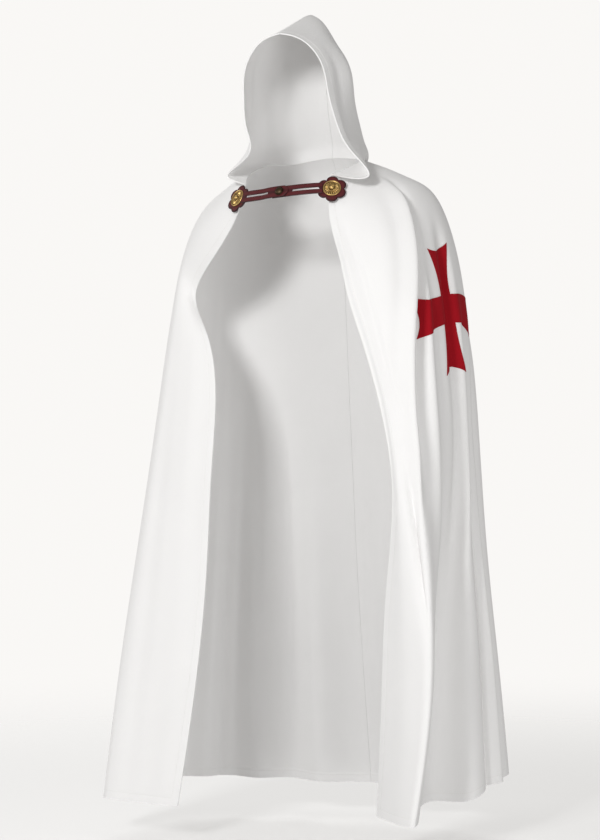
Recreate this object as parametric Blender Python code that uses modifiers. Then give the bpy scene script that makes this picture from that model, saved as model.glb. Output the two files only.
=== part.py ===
"""Hooded cloak of white twill, worn open, with a leather neck clasp and a red cross on one arm.

Metres, +Z up. The origin is at the base of the neck on the body's axis, the wearer faces -Y and
the wearer's left is +X. Every cloth piece is a closed wall on a surface worked out from the
section tables below, so each hollow stays open.
"""
import math

import bmesh
import bpy
import numpy as np
from mathutils import Matrix, Vector

MM = 0.001
CLOTH = 2.0 * MM
SEAM_GAP = 0.4 * MM
STEP = 1e-4

# Cloak: one row for each level down the cloth, with points (across, forward, up) in millimetres.
# The right half's lines are its front edge, front turn and side.
RIGHT_COLUMNS = {"edge": -1.0, "turn": -0.80, "side": -0.60, "rear": -0.30}
RIGHT_SECTIONS = [
    # level  edge                 turn                 side
    (0.000, (-100, -140, -23), (-118, -82, 6), (-112, -12, 30)),
    (0.035, (-106, -155, -72), (-143, -100, -16), (-152, -10, 13)),
    (0.085, (-135, -150, -125), (-190, -104, -58), (-205, 0, -12)),
    (0.135, (-190, -120, -178), (-243, -90, -108), (-256, 5, -46)),
    (0.190, (-252, -74, -240), (-284, -72, -172), (-292, 5, -118)),
    (0.270, (-214, -100, -330), (-302, -76, -265), (-315, 10, -225)),
    (0.380, (-168, -145, -472), (-318, -95, -422), (-335, 10, -395)),
    (0.480, (-165, -168, -620), (-336, -108, -570), (-352, 10, -540)),
    (0.640, (-171, -181, -850), (-364, -128, -800), (-382, 10, -775)),
    (0.800, (-193, -186, -1075), (-395, -142, -1030), (-415, 5, -1010)),
    (1.000, (-240, -180, -1340), (-432, -156, -1338), (-455, 0, -1335)),
]
# The left half's lines are its side, the valley behind the front flap, the flap's crest and the edge.
LEFT_COLUMNS = {"rear": 0.30, "side": 0.55, "valley": 0.72, "crest": 0.85, "edge": 1.0}
LEFT_SECTIONS = [
    # level  side               valley              crest                edge
    (0.000, (112, -14, 30), (118, -58, 20), (116, -100, 6), (100, -140, -10)),
    (0.035, (154, -10, 17), (146, -68, 4), (133, -124, -25), (104, -160, -62)),
    (0.085, (211, 0, -7), (198, -84, -24), (171, -150, -70), (120, -181, -125)),
    (0.135, (253, 10, -34), (241, -94, -68), (210, -168, -126), (146, -195, -194)),
    (0.190, (286, 14, -98), (276, -98, -148), (242, -178, -202), (165, -205, -258)),
    (0.270, (315, 20, -220), (304, -98, -267), (268, -182, -316), (200, -210, -356)),
    (0.380, (336, 27, -391), (325, -98, -437), (293, -176, -480), (240, -203, -500)),
    (0.480, (342, 37, -535), (327, -80, -582), (307, -176, -625), (258, -190, -640)),
    (0.640, (344, 52, -765), (296, -40, -806), (338, -182, -852), (228, -150, -870)),
    (0.800, (350, 72, -985), (274, -24, -1026), (343, -178, -1072), (206, -122, -1090)),
    (1.000, (358, 94, -1302), (254, -14, -1326), (304, -168, -1345), (182, -92, -1345)),
]
# Centre back: level, back, up in millimetres.
BACK_SECTIONS = [
    (0.000, 85, 52), (0.035, 110, 15), (0.085, 128, -52), (0.135, 140, -125), (0.190, 149, -202),
    (0.270, 160, -312), (0.380, 175, -465), (0.480, 190, -605), (0.640, 216, -830),
    (0.800, 250, -1052), (1.000, 300, -1340),
]
REAR_RIGHT = (0.78, 0.78)
REAR_LEFT = (0.80, 0.885)
REAR_BACK = 0.80
REAR_DROP = 0.40

# Soft folds that run down the cloth: place across at the shoulder and lower down, half width, level
# where it starts, where it is full, where it ends, height out of the cloth in millimetres (a valley's
# is negative), sideways lean.
FOLDS = [
    # high   low     width  start full  end   height  lean
    (0.733, 0.872, 0.022, 0.04, 0.13, 0.64, 25, -0.3),
    (0.790, 0.925, 0.050, 0.05, 0.16, 0.60, 8, 0.0),
    (0.825, 0.825, 0.022, 0.36, 0.50, 0.70, 13, -0.3),
    (0.905, 0.885, 0.022, 0.42, 0.54, 0.75, -20, 0.0),
    (0.690, 0.825, 0.020, 0.07, 0.18, 0.66, -14, 0.0),
    (0.715, 0.765, 0.020, 0.16, 0.27, 0.75, 12, -0.2),
    (0.603, 0.628, 0.030, 0.17, 0.28, 0.78, -20, 0.0),
    (0.575, 0.605, 0.030, 0.20, 0.40, 0.75, 12, -0.3),
    (0.600, 0.605, 0.045, 0.45, 0.80, 9.00, 22, -0.4),
    (0.520, 0.530, 0.028, 0.25, 0.60, 9.00, -26, 0.0),
    (0.455, 0.460, 0.075, 0.24, 0.52, 9.00, -30, 0.0),
    (0.450, 0.455, 0.026, 0.25, 0.55, 9.00, 15, -0.2),
    (0.390, 0.395, 0.026, 0.25, 0.60, 9.00, -26, 0.0),
    (0.335, 0.335, 0.034, 0.18, 0.40, 9.00, 13, 0.0),
    (0.205, 0.205, 0.042, 0.30, 0.90, 9.00, -34, 0.0),
    (0.068, 0.068, 0.040, 0.34, 0.90, 9.00, -30, 0.0),
    (-0.080, -0.080, 0.042, 0.30, 0.90, 9.00, -34, 0.0),
    (-0.215, -0.215, 0.044, 0.28, 0.88, 9.00, -36, 0.0),
    (-0.350, -0.350, 0.046, 0.30, 0.85, 9.00, -32, -0.1),
    (-0.490, -0.490, 0.046, 0.30, 0.90, 9.00, -28, -0.2),
    (-0.640, -0.640, 0.050, 0.36, 0.95, 9.00, -16, 0.0),
    (-0.890, -0.890, 0.060, 0.40, 0.95, 9.00, -8, 0.0),
]
FOLD_DRIFT = (0.05, 0.42)
FOLD_END = 0.2

# Hood: one row for each level from the neck seam to the crown seam. Both halves have the same cheek
# and rear lines; the front corner turns out further on the wearer's left.
HOOD_PLACES = [-1.0, -0.60, -0.30, 0.0, 0.30, 0.60, 1.0]
HOOD_SECTIONS = [
    # level  right edge            left edge            cheek            rear            back, up
    (0.00, (-100, -140, -23), (100, -140, -10), (112, -20, 28), (76, 64, 46), (85, 52)),
    (0.08, (-140, -142, -6), (164, -156, -23), (127, -28, 38), (84, 60, 66), (87, 76)),
    (0.15, (-130, -144, 10), (190, -148, -14), (126, -38, 56), (84, 52, 84), (82, 94)),
    (0.24, (-82, -162, 38), (160, -164, 30), (119, -48, 84), (82, 40, 112), (72, 122)),
    (0.36, (-84, -166, 90), (130, -172, 84), (112, -56, 122), (80, 28, 148), (62, 158)),
    (0.52, (-90, -168, 152), (110, -174, 152), (109, -64, 178), (78, 16, 196), (53, 206)),
    (0.68, (-88, -170, 206), (98, -174, 206), (101, -70, 228), (70, 6, 244), (42, 254)),
    (0.83, (-66, -174, 252), (70, -176, 252), (73, -80, 274), (46, -8, 290), (26, 303)),
    (0.93, (-34, -178, 276), (34, -179, 276), (38, -90, 299), (22, -30, 320), (4, 331)),
    (1.00, (0, -180, 283), (0, -180, 283), (0, -96, 310), (0, -48, 330), (-18, 346)),
]
NECK_BLEND = 0.15
HOOD_MIDDLE = np.array([0.0, -0.06, 0.18])
SEAM_LOST = 0.3

# Grid steps of each cloth piece.
ROWS_CLOAK = 27
ROW_POWER = 1.25
COLUMNS_BACK = 9
COLUMNS_ARM = 50
COLUMNS_FRONT = 6
COLUMNS_RIGHT = 34
ARM_PLACES = (0.27, 0.90)
ROWS_HOOD = 18
COLUMNS_HOOD = 14

# Cross: reach of an arm, half widths at its root and tip, hollow of its end, place on the left half.
CROSS_REACH = 0.135
CROSS_ROOT = 0.030
CROSS_TIP = 0.044
CROSS_HOLLOW = 0.013
CROSS_FLARE = 2.1
CROSS_ACROSS = 0.634
CROSS_LEVEL = 0.303
CROSS_LEVEL_SLOPE = 0.22
CROSS_LIFT = 0.3 * MM
CROSS_CLOTH = 1.0 * MM
CROSS_PATCH = (0.33, 0.16)
PRISM_REACH = 10.0 * MM
CROSS_ARM_STEPS = 5

# Clasp: rosettes, bosses, straps and stud.
ROSETTE_RADIUS = 0.028
ROSETTE_SCALLOP = 0.0035
ROSETTE_PETALS = 6
ROSETTE_THICK = 3.0 * MM
ROSETTE_LEVEL = 0.027
ROSETTE_ACROSS = 0.975
ROSETTE_SINK = 0.8 * MM
ROSETTE_NEAR = (0.6, 0.12, 60)
PETAL_POWER = 0.7
PETAL_STEPS = 8
BOSS_RADIUS = 0.019
BOSS_THICK = 2.5 * MM
BOSS_DOME = 6.0 * MM
BOSS_STEPS = 24
STRAP_HALF_WIDTH = 0.013
STRAP_SLOT_HALF = 0.0026
STRAP_THICK = 2.4 * MM
STRAP_EASE = 0.5 * MM
STRAP_PULL = 0.045
STRAP_STEPS = 15
STRAP_TIP = 0.30
# Straps: shares of the line from the right rosette to the left one, and the steps that a slot takes.
STRAP_RIGHT_SHARES = (0.0, 0.60)
STRAP_LEFT_SHARES = (0.44, 1.0)
STRAP_RIGHT_SLOT = (2, 9)
STRAP_LEFT_SLOT = (5, 13)
STRAP_OVERLAP = (0.30, 0.42)
STUD_RADIUS = 0.0095
STUD_HEIGHT = 5.0 * MM
STUD_SHARES = (0.50, 0.51, 0.52)
STUD_STEPS = 16
PIECE_GAP = 0.3 * MM


def spline(knots, values, at):
    """Natural cubic spline through rows of values, read at the places `at`, straight beyond its ends.

    values is (knots, numbers) shared by all places, or (knots, places, numbers) one set for each."""
    knots = np.asarray(knots, dtype=float)
    values = np.asarray(values, dtype=float)
    at = np.asarray(at, dtype=float)
    count = len(knots)
    gaps = np.diff(knots)
    system = np.eye(count)
    sides = np.zeros_like(values)
    for row in range(1, count - 1):
        system[row, row - 1] = gaps[row - 1]
        system[row, row] = 2.0 * (gaps[row - 1] + gaps[row])
        system[row, row + 1] = gaps[row]
        after = (values[row + 1] - values[row]) / gaps[row]
        before = (values[row] - values[row - 1]) / gaps[row - 1]
        sides[row] = 6.0 * (after - before)
    bends = np.linalg.solve(system, sides.reshape(count, -1)).reshape(values.shape)
    inside = np.clip(at, knots[0], knots[-1])
    low = np.clip(np.searchsorted(knots, inside) - 1, 0, count - 2)
    pick = (low,) if values.ndim == 2 else (low, np.arange(len(at)))
    pick_next = (low + 1,) + pick[1:]
    width = gaps[low][:, None]
    right = ((inside - knots[low])[:, None]) / width
    left = 1.0 - right
    start, end = values[pick], values[pick_next]
    bend_start, bend_end = bends[pick], bends[pick_next]
    result = left * start + right * end
    result += ((left**3 - left) * bend_start + (right**3 - right) * bend_end) * width**2 / 6.0
    slope = (end - start) / width
    slope += ((1.0 - 3.0 * left**2) * bend_start + (3.0 * right**2 - 1.0) * bend_end) * width / 6.0
    return result + slope * (at - inside)[:, None]


def smooth(start, end, value):
    """Rise from 0 at start to 1 at end, level at both."""
    share = np.clip((value - start) / (end - start), 0.0, 1.0)
    return share * share * (3.0 - 2.0 * share)


def cloak_lines():
    """The section tables as one array (levels, lines, xyz) in metres, with each line's place across."""
    back = np.array([(0.0, row[1], row[2]) for row in BACK_SECTIONS], dtype=float)
    right = np.array([row[1:] for row in RIGHT_SECTIONS], dtype=float)
    left = np.array([row[1:] for row in LEFT_SECTIONS], dtype=float)

    def rear(side, reach):
        """The line between the side and the centre back, on a rounded corner; reach at neck and hem."""
        across = np.interp([row[0] for row in BACK_SECTIONS], (0.0, 1.0), reach) * side[:, 0]
        backward = side[:, 1] + REAR_BACK * (back[:, 1] - side[:, 1])
        up = side[:, 2] + REAR_DROP * (back[:, 2] - side[:, 2])
        return np.stack([across, backward, up], axis=1)

    lines = [right[:, 0], right[:, 1], right[:, 2], rear(right[:, 2], REAR_RIGHT), back,
             rear(left[:, 0], REAR_LEFT), left[:, 0], left[:, 1], left[:, 2], left[:, 3]]
    places = list(RIGHT_COLUMNS.values()) + [0.0] + list(LEFT_COLUMNS.values())
    return np.array(places), np.stack(lines, axis=1) * MM


CLOAK_PLACES, CLOAK_LINES = cloak_lines()
CLOAK_LEVELS = [row[0] for row in BACK_SECTIONS]


def cloak_base(across, level):
    """The cloak without folds: a spline down each line, then a spline across the lines."""
    lines = CLOAK_LINES.reshape(len(CLOAK_LEVELS), -1)
    at_level = spline(CLOAK_LEVELS, lines, level).reshape(len(level), -1, 3)
    return spline(CLOAK_PLACES, np.swapaxes(at_level, 0, 1), across)


def cloak(across, level):
    """The cloak with its folds, each a soft ridge that leans to one side."""
    along = cloak_base(across + STEP, level) - cloak_base(across - STEP, level)
    along[:, 2] = 0.0
    along /= np.linalg.norm(along, axis=1, keepdims=True)
    outward = np.stack([-along[:, 1], along[:, 0], np.zeros(len(across))], axis=1)
    points = cloak_base(across, level)
    drift = smooth(*FOLD_DRIFT, level)
    for high, low, width, start, full, end, height, lean in FOLDS:
        place = high + (low - high) * drift
        ridge = np.exp(-((across - place) / width) ** 2) * smooth(start, full, level)
        ridge *= 1.0 - smooth(end - FOLD_END, end, level)
        points += (ridge * height * MM)[:, None] * (outward + lean * along)
    return points


def hood_lines():
    """The hood's table as one array (levels, lines, xyz) in metres, from the right edge to the left."""
    mirror = np.array([-1.0, 1.0, 1.0])
    rows = []
    for _, right_edge, left_edge, cheek, rear, back in HOOD_SECTIONS:
        half = [np.array(rear), np.array(cheek)]
        rows.append([right_edge, mirror * half[1], mirror * half[0], (0, *back), half[0], half[1], left_edge])
    return np.array(rows, dtype=float) * MM


HOOD_LINES = hood_lines()
HOOD_LEVELS = [row[0] for row in HOOD_SECTIONS]


def hood_base(across, level):
    """The hood's own sections: a spline up each line, then a spline across the lines."""
    at_level = spline(HOOD_LEVELS, HOOD_LINES.reshape(len(HOOD_LEVELS), -1), level)
    return spline(HOOD_PLACES, np.swapaxes(at_level.reshape(len(level), -1, 3), 0, 1), across)


def hood(across, level):
    """The hood, fitted to the cloak's neck edge at its lowest level."""
    neck = np.zeros(len(across))
    fade = 1.0 - smooth(0.0, NECK_BLEND, level)
    return hood_base(across, level) + (cloak_base(across, neck) - hood_base(across, neck)) * fade[:, None]


def tangents(surface, across, level):
    """Unit directions of a surface along its two parameters, taken within one half."""
    half = np.where(np.mean(across) > 0.0, 1.0, -1.0)
    low, high = np.maximum(level - STEP, 0.0), np.minimum(level + STEP, 1.0)
    first, last = across - STEP, across + STEP
    if surface is hood:
        first = half * np.maximum(half * first, 0.0)
        last = half * np.maximum(half * last, 0.0)
    along = surface(last, level) - surface(first, level)
    down = surface(across, high) - surface(across, low)
    along /= np.linalg.norm(along, axis=1, keepdims=True)
    down /= np.linalg.norm(down, axis=1, keepdims=True)
    return along, down


def normals(surface, across, level):
    """Unit outward normals: the cloak's levels run down the cloth and the hood's run up."""
    along, down = tangents(surface, across, level)
    out = np.cross(along, down) * (1.0 if surface is cloak else -1.0)
    return out / np.linalg.norm(out, axis=1, keepdims=True)


def material(name, colour, roughness, metallic=0.0):
    """A plain finish with the piece's own colour."""
    finish = bpy.data.materials.new(name)
    finish.use_nodes = True
    shader = finish.node_tree.nodes["Principled BSDF"]
    shader.inputs["Base Color"].default_value = (*colour, 1.0)
    shader.inputs["Roughness"].default_value = roughness
    shader.inputs["Metallic"].default_value = metallic
    return finish


def add_object(name, mesh, finish):
    """Put a mesh into the cloak's collection as a named piece."""
    piece = bpy.data.objects.new(name, mesh)
    mesh.materials.append(finish)
    mesh.shade_smooth()
    mesh.set_sharp_from_angle(angle=math.radians(50.0))
    COLLECTION.objects.link(piece)
    return piece


def wall(name, outer, inner, kept, finish):
    """A closed wall between two grids of points; `kept` says which of the grid's cells are cloth."""
    rows, columns = outer.shape[:2]
    number = np.arange(rows * columns).reshape(rows, columns)
    second = number + rows * columns
    faces = []
    for row in range(rows - 1):
        for column in range(columns - 1):
            if not kept[row, column]:
                continue
            a, b = (row, column), (row + 1, column)
            c, d = (row + 1, column + 1), (row, column + 1)
            faces += [(number[a], number[b], number[c]), (number[a], number[c], number[d])]
            faces += [(second[a], second[c], second[b]), (second[a], second[d], second[c])]
            sides = [((row, column - 1), a, b), ((row + 1, column), b, c),
                     ((row, column + 1), c, d), ((row - 1, column), d, a)]
            for (near_row, near_column), start, end in sides:
                within = 0 <= near_row < rows - 1 and 0 <= near_column < columns - 1
                if within and kept[near_row, near_column]:
                    continue
                faces += [(number[end], number[start], second[start]),
                          (number[end], second[start], second[end])]
    points = np.concatenate([outer.reshape(-1, 3), inner.reshape(-1, 3)])
    used = np.unique(np.array(faces))
    renumber = np.zeros(len(points), dtype=int)
    renumber[used] = np.arange(len(used))
    mesh = bpy.data.meshes.new(name)
    mesh.from_pydata(points[used].tolist(), [], renumber[np.array(faces)].tolist())
    mesh.update()
    return add_object(name, mesh, finish)


def neck_mitre(across):
    """At the neck seam: the direction shared by both walls, and the way from the hood to the cloak."""
    neck = np.zeros(len(across))
    mitre = normals(cloak, across, neck) + normals(hood, across, neck)
    mitre /= np.linalg.norm(mitre, axis=1, keepdims=True)
    apart = tangents(cloak, across, neck)[1] - tangents(hood, across, neck)[1]
    apart -= np.sum(apart * mitre, axis=1, keepdims=True) * mitre
    return mitre, apart / np.linalg.norm(apart, axis=1, keepdims=True)


def cloth_panel(name, surface, places, levels, finish):
    """A cloth wall on a surface, mitred and parted by half a gap at the centre, crown and neck seams."""
    across, level = (grid.ravel() for grid in np.meshgrid(places, levels, indexing="ij"))
    half = 1.0 if np.mean(places) > 0.0 else -1.0
    points = surface(across, level)
    out = normals(surface, across, level)

    neck = np.isclose(level, 0.0)[:, None]
    mitre, apart = neck_mitre(across)
    out = np.where(neck, mitre, out)
    points = points + np.where(neck, (0.5 if surface is cloak else -0.5) * SEAM_GAP, 0.0) * apart

    seam = np.isclose(across, 0.0)
    if surface is hood:
        seam |= np.isclose(level, 1.0)
    out[seam, 0] = 0.0
    lost = seam & (np.linalg.norm(out, axis=1) < SEAM_LOST)
    out[lost] = points[lost] - HOOD_MIDDLE
    out[seam, 0] = 0.0
    out /= np.linalg.norm(out, axis=1, keepdims=True)
    points[seam, 0] = half * 0.5 * SEAM_GAP

    shape = (len(places), len(levels), 3)
    outer = (points + 0.5 * CLOTH * out).reshape(shape)
    inner = (points - 0.5 * CLOTH * out).reshape(shape)
    kept = np.ones((shape[0] - 1, shape[1] - 1), dtype=bool)
    if surface is hood:
        return wall(name, inner, outer, kept, finish)
    return wall(name, outer, inner, kept, finish)


def cross_outline():
    """Half-plane outline of a flared cross, as (along, up) points round its four arms."""
    share = np.linspace(0.0, 1.0, CROSS_ARM_STEPS + 1)
    reach = CROSS_ROOT + (CROSS_REACH - CROSS_ROOT) * share
    half = CROSS_ROOT + (CROSS_TIP - CROSS_ROOT) * share**CROSS_FLARE
    end = np.linspace(1.0, -1.0, CROSS_ARM_STEPS + 1)[1:-1]
    end_reach = CROSS_REACH - CROSS_HOLLOW * (1.0 - end**2)
    side_up = np.stack([reach, -half], axis=1)[:-1]
    tip_low = np.array([[CROSS_REACH, -CROSS_TIP]])
    tip_end = np.stack([end_reach[::-1], end[::-1] * CROSS_TIP], axis=1)
    side_down = np.stack([reach, half], axis=1)[::-1][:-1]
    arm = np.concatenate([side_up, tip_low, tip_end, side_down])
    turns = [np.array([[math.cos(a), math.sin(a)], [-math.sin(a), math.cos(a)]])
             for a in np.arange(4) * math.pi / 2.0]
    return np.concatenate([arm @ turn for turn in turns])


def cross_prism():
    """A flat block of the cross's outline that reaches through the layer it trims."""
    mesh = bpy.data.meshes.new("cross_prism")
    shape = bmesh.new()
    base = shape.faces.new([shape.verts.new((along, up, -PRISM_REACH)) for along, up in cross_outline()])
    grown = bmesh.ops.extrude_face_region(shape, geom=[base])["geom"]
    raised = [item for item in grown if isinstance(item, bmesh.types.BMVert)]
    bmesh.ops.translate(shape, verts=raised, vec=(0.0, 0.0, 2.0 * PRISM_REACH))
    bmesh.ops.recalc_face_normals(shape, faces=shape.faces)
    shape.to_mesh(mesh)
    shape.free()
    prism = bpy.data.objects.new("cross_prism", mesh)
    prism.hide_render = True
    prism.display_type = "WIRE"
    CUTTERS.objects.link(prism)
    return prism


def cloth_lengths(points, places, levels):
    """Where each panel point lies from the cross's middle: along level with the floor, and up.

    Lengths are measured on the cloth. Its own levels fall towards the front, so they are turned back."""
    steps = np.linalg.norm(np.diff(points, axis=0), axis=2)
    along = np.concatenate([np.zeros((1, len(levels))), np.cumsum(steps, axis=0)])
    along -= np.array([np.interp(CROSS_ACROSS, places, column) for column in along.T])
    middle = cloak(np.full(len(levels), CROSS_ACROSS), levels)
    down = np.concatenate([[0.0], np.cumsum(np.linalg.norm(np.diff(middle, axis=0), axis=1))])
    down -= np.interp(CROSS_LEVEL, levels, down)
    flat_along = -along / math.hypot(1.0, CROSS_LEVEL_SLOPE)
    return flat_along, CROSS_LEVEL_SLOPE * flat_along - down[None, :]


def cross_piece(all_places, all_levels, finish):
    """The cross: a layer of the left half's own points, trimmed flat to the outline and laid back."""
    places = all_places[np.abs(all_places - CROSS_ACROSS) < CROSS_PATCH[0]]
    levels = all_levels[np.abs(all_levels - CROSS_LEVEL) < CROSS_PATCH[1]]
    across, level = (grid.ravel() for grid in np.meshgrid(places, levels, indexing="ij"))
    shape = (len(places), len(levels), 3)
    points = cloak(across, level)
    out = normals(cloak, across, level)
    low = points + out * (0.5 * CLOTH + CROSS_LIFT)
    along, up = cloth_lengths(points.reshape(shape), places, levels)
    flat = np.stack([along, up, np.zeros_like(up)], axis=2)
    kept = np.ones((shape[0] - 1, shape[1] - 1), dtype=bool)
    layer = wall("cross_layer", flat + [0.0, 0.0, CROSS_CLOTH], flat, kept, finish)
    trim = layer.modifiers.new("Outline", "BOOLEAN")
    trim.operation = "INTERSECT"
    trim.object = cross_prism()
    trimmed = bpy.data.meshes.new_from_object(layer.evaluated_get(bpy.context.evaluated_depsgraph_get()))
    bpy.data.objects.remove(trim.object)
    bpy.data.objects.remove(layer)

    number = np.arange(len(points)).reshape(shape[:2])
    corners = np.concatenate([
        np.stack([number[:-1, :-1], number[1:, :-1], number[1:, 1:]], axis=2).reshape(-1, 3),
        np.stack([number[:-1, :-1], number[1:, 1:], number[:-1, 1:]], axis=2).reshape(-1, 3)])
    corner_flat = flat.reshape(-1, 3)[corners][..., :2]
    sides = np.stack([corner_flat[:, 1] - corner_flat[:, 0], corner_flat[:, 2] - corner_flat[:, 0]], axis=2)
    inverse = np.linalg.inv(sides)
    for vertex in trimmed.vertices:
        share = np.einsum("nij,nj->ni", inverse, np.array(vertex.co[:2]) - corner_flat[:, 0])
        weights = np.column_stack([1.0 - share.sum(axis=1), share])
        home = np.argmax(weights.min(axis=1))
        lift = CROSS_CLOTH if vertex.co[2] > 0.5 * CROSS_CLOTH else 0.0
        vertex.co = weights[home] @ (low + lift * out)[corners[home]]
    return add_object("cross", trimmed, finish)


def rosette_frame(side):
    """Place and turn of a rosette: +Z of the frame is out of the cloth, +Y is up the cloth.

    The stiff disc rests on the highest of the cloth points under it, on their best-fitting plane, and
    sinks in by what the panel's flat facets lie under the true curve."""
    centre = cloak(np.array([side * ROSETTE_ACROSS]), np.array([ROSETTE_LEVEL]))[0]
    across, level = np.meshgrid(side * np.linspace(ROSETTE_NEAR[0], 1.0, ROSETTE_NEAR[2]),
                                np.linspace(0.0, ROSETTE_NEAR[1], ROSETTE_NEAR[2]))
    near = cloak(across.ravel(), level.ravel())
    near = near[np.linalg.norm(near - centre, axis=1) < ROSETTE_RADIUS + 2.0 * ROSETTE_SCALLOP]
    out = np.linalg.svd(near - near.mean(axis=0))[2][2]
    out *= -np.sign(out[1])
    centre = centre + out * (np.max((near - centre) @ out) - ROSETTE_SINK)
    up = np.array([0.0, 0.0, 1.0])
    up = up - np.dot(up, out) * out
    up /= np.linalg.norm(up)
    right = np.cross(up, out)
    turn = Matrix((right, up, out)).transposed().to_4x4()
    return Matrix.Translation(Vector(centre)) @ turn


def rosette_piece(name, frame, finish):
    """A scalloped leather disc that lies on the cloth."""
    curve = bpy.data.curves.new(name, "CURVE")
    curve.dimensions = "2D"
    curve.fill_mode = "BOTH"
    curve.extrude = 0.5 * ROSETTE_THICK
    outline = curve.splines.new("POLY")
    steps = ROSETTE_PETALS * PETAL_STEPS
    outline.points.add(steps - 1)
    for step in range(steps):
        angle = 2.0 * math.pi * step / steps
        reach = ROSETTE_RADIUS - ROSETTE_SCALLOP + 2.0 * ROSETTE_SCALLOP * abs(
            math.sin(0.5 * ROSETTE_PETALS * angle)) ** PETAL_POWER
        outline.points[step].co = (reach * math.cos(angle), reach * math.sin(angle), 0.0, 1.0)
    outline.use_cyclic_u = True
    curve.materials.append(finish)
    piece = bpy.data.objects.new(name, curve)
    rise = 0.5 * CLOTH + PIECE_GAP + 0.5 * ROSETTE_THICK
    piece.matrix_world = frame @ Matrix.Translation((0.0, 0.0, rise))
    COLLECTION.objects.link(piece)
    return piece


def turned_piece(name, profile, frame, steps, finish):
    """A turned solid: a profile of (radius, height) from its top to its bottom, spun round its axis."""
    mesh = bpy.data.meshes.new(name)
    points = [(radius, 0.0, height) for radius, height in profile]
    edges = [(index, index + 1) for index in range(len(points) - 1)]
    mesh.from_pydata(points, edges, [])
    piece = add_object(name, mesh, finish)
    screw = piece.modifiers.new("Turn", "SCREW")
    screw.steps = steps
    screw.render_steps = steps
    screw.use_merge_vertices = True
    screw.merge_threshold = 0.00001
    piece.matrix_world = frame
    return piece


def strap_line(share, left_frame, right_frame):
    """Centre line of the straps from the right rosette (0) to the left one (1), with its up direction."""
    rise = 0.5 * CLOTH + 2.0 * PIECE_GAP + ROSETTE_THICK + 0.5 * STRAP_THICK + STRAP_EASE
    reach = BOSS_RADIUS + 2.0 * PIECE_GAP
    start = np.array(right_frame @ Vector((reach, 0.0, rise)))
    start_pull = np.array(right_frame @ Vector((reach + STRAP_PULL, 0.0, rise)))
    end = np.array(left_frame @ Vector((-reach, 0.0, rise)))
    end_pull = np.array(left_frame @ Vector((-reach - STRAP_PULL, 0.0, rise)))
    t = share[:, None]
    line = (1 - t) ** 3 * start + 3 * (1 - t) ** 2 * t * start_pull
    line += 3 * (1 - t) * t**2 * end_pull + t**3 * end
    up_right = np.array(right_frame.col[1][:3])
    up_left = np.array(left_frame.col[1][:3])
    up = (1 - t) * up_right + t * up_left
    return line, up / np.linalg.norm(up, axis=1, keepdims=True)


def strap_piece(name, shares, slot, tip_at_end, lift, frames, finish):
    """A slotted strap along the centre line; `lift` raises the overlapping end over the other strap."""
    line, up = strap_line(shares, *frames)
    along = np.gradient(line, axis=0)
    along /= np.linalg.norm(along, axis=1, keepdims=True)
    out = np.cross(along, up)
    out /= np.linalg.norm(out, axis=1, keepdims=True)
    line = line + out * lift(shares)[:, None]
    across = np.array([-STRAP_HALF_WIDTH, -STRAP_SLOT_HALF, STRAP_SLOT_HALF, STRAP_HALF_WIDTH])
    narrow = np.ones(len(shares))
    tip = -1 if tip_at_end else 0
    narrow[tip] = STRAP_TIP
    spread = across[None, :] * narrow[:, None]
    grid = line[:, None, :] + spread[..., None] * up[:, None, :]
    outer = grid + 0.5 * STRAP_THICK * out[:, None, :]
    inner = grid - 0.5 * STRAP_THICK * out[:, None, :]
    kept = np.ones((len(shares) - 1, 3), dtype=bool)
    kept[slot[0]:slot[1], 1] = False
    return wall(name, outer, inner, kept, finish)


for old in list(bpy.data.objects):
    bpy.data.objects.remove(old, do_unlink=True)
COLLECTION = bpy.data.collections.new("hooded_cloak")
bpy.context.scene.collection.children.link(COLLECTION)
CUTTERS = bpy.data.collections.new("cutters")
bpy.context.scene.collection.children.link(CUTTERS)

twill = material("white_twill", (0.86, 0.85, 0.84), 0.8)
red_cloth = material("red_cloth", (0.40, 0.008, 0.018), 0.75)
leather = material("burgundy_leather", (0.14, 0.03, 0.026), 0.45)
brass = material("brass", (0.62, 0.43, 0.16), 0.35, 1.0)
dark_brass = material("dark_brass", (0.10, 0.075, 0.045), 0.4, 1.0)

levels_cloak = np.linspace(0.0, 1.0, ROWS_CLOAK + 1) ** ROW_POWER
levels_hood = np.linspace(0.0, 1.0, ROWS_HOOD + 1)
places_cloak = np.concatenate([
    np.linspace(0.0, ARM_PLACES[0], COLUMNS_BACK + 1)[:-1],
    np.linspace(*ARM_PLACES, COLUMNS_ARM + 1)[:-1],
    np.linspace(ARM_PLACES[1], 1.0, COLUMNS_FRONT + 1)])
places_right = np.linspace(-1.0, 0.0, COLUMNS_RIGHT + 1)
places_hood = np.linspace(0.0, 1.0, COLUMNS_HOOD + 1)
cloth_panel("cloak_left", cloak, places_cloak, levels_cloak, twill)
cloth_panel("cloak_right", cloak, places_right, levels_cloak, twill)
cloth_panel("hood_left", hood, places_hood, levels_hood, twill)
cloth_panel("hood_right", hood, places_hood - 1.0, levels_hood, twill)
cross_piece(places_cloak, levels_cloak, red_cloth)

left_frame = rosette_frame(1.0)
right_frame = rosette_frame(-1.0)
boss_foot = 0.5 * CLOTH + 2.0 * PIECE_GAP + ROSETTE_THICK
boss_profile = [(0.0, BOSS_THICK + BOSS_DOME), (0.0045, BOSS_THICK + 0.8 * BOSS_DOME),
                (0.0070, BOSS_THICK), (0.0130, 0.6 * BOSS_THICK), (BOSS_RADIUS, BOSS_THICK),
                (BOSS_RADIUS, 0.0), (0.0, 0.0)]
for side_name, frame in (("left", left_frame), ("right", right_frame)):
    rosette_piece("rosette_" + side_name, frame, leather)
    turned_piece("boss_" + side_name, boss_profile, frame @ Matrix.Translation((0, 0, boss_foot)), BOSS_STEPS,
                 brass)

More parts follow.
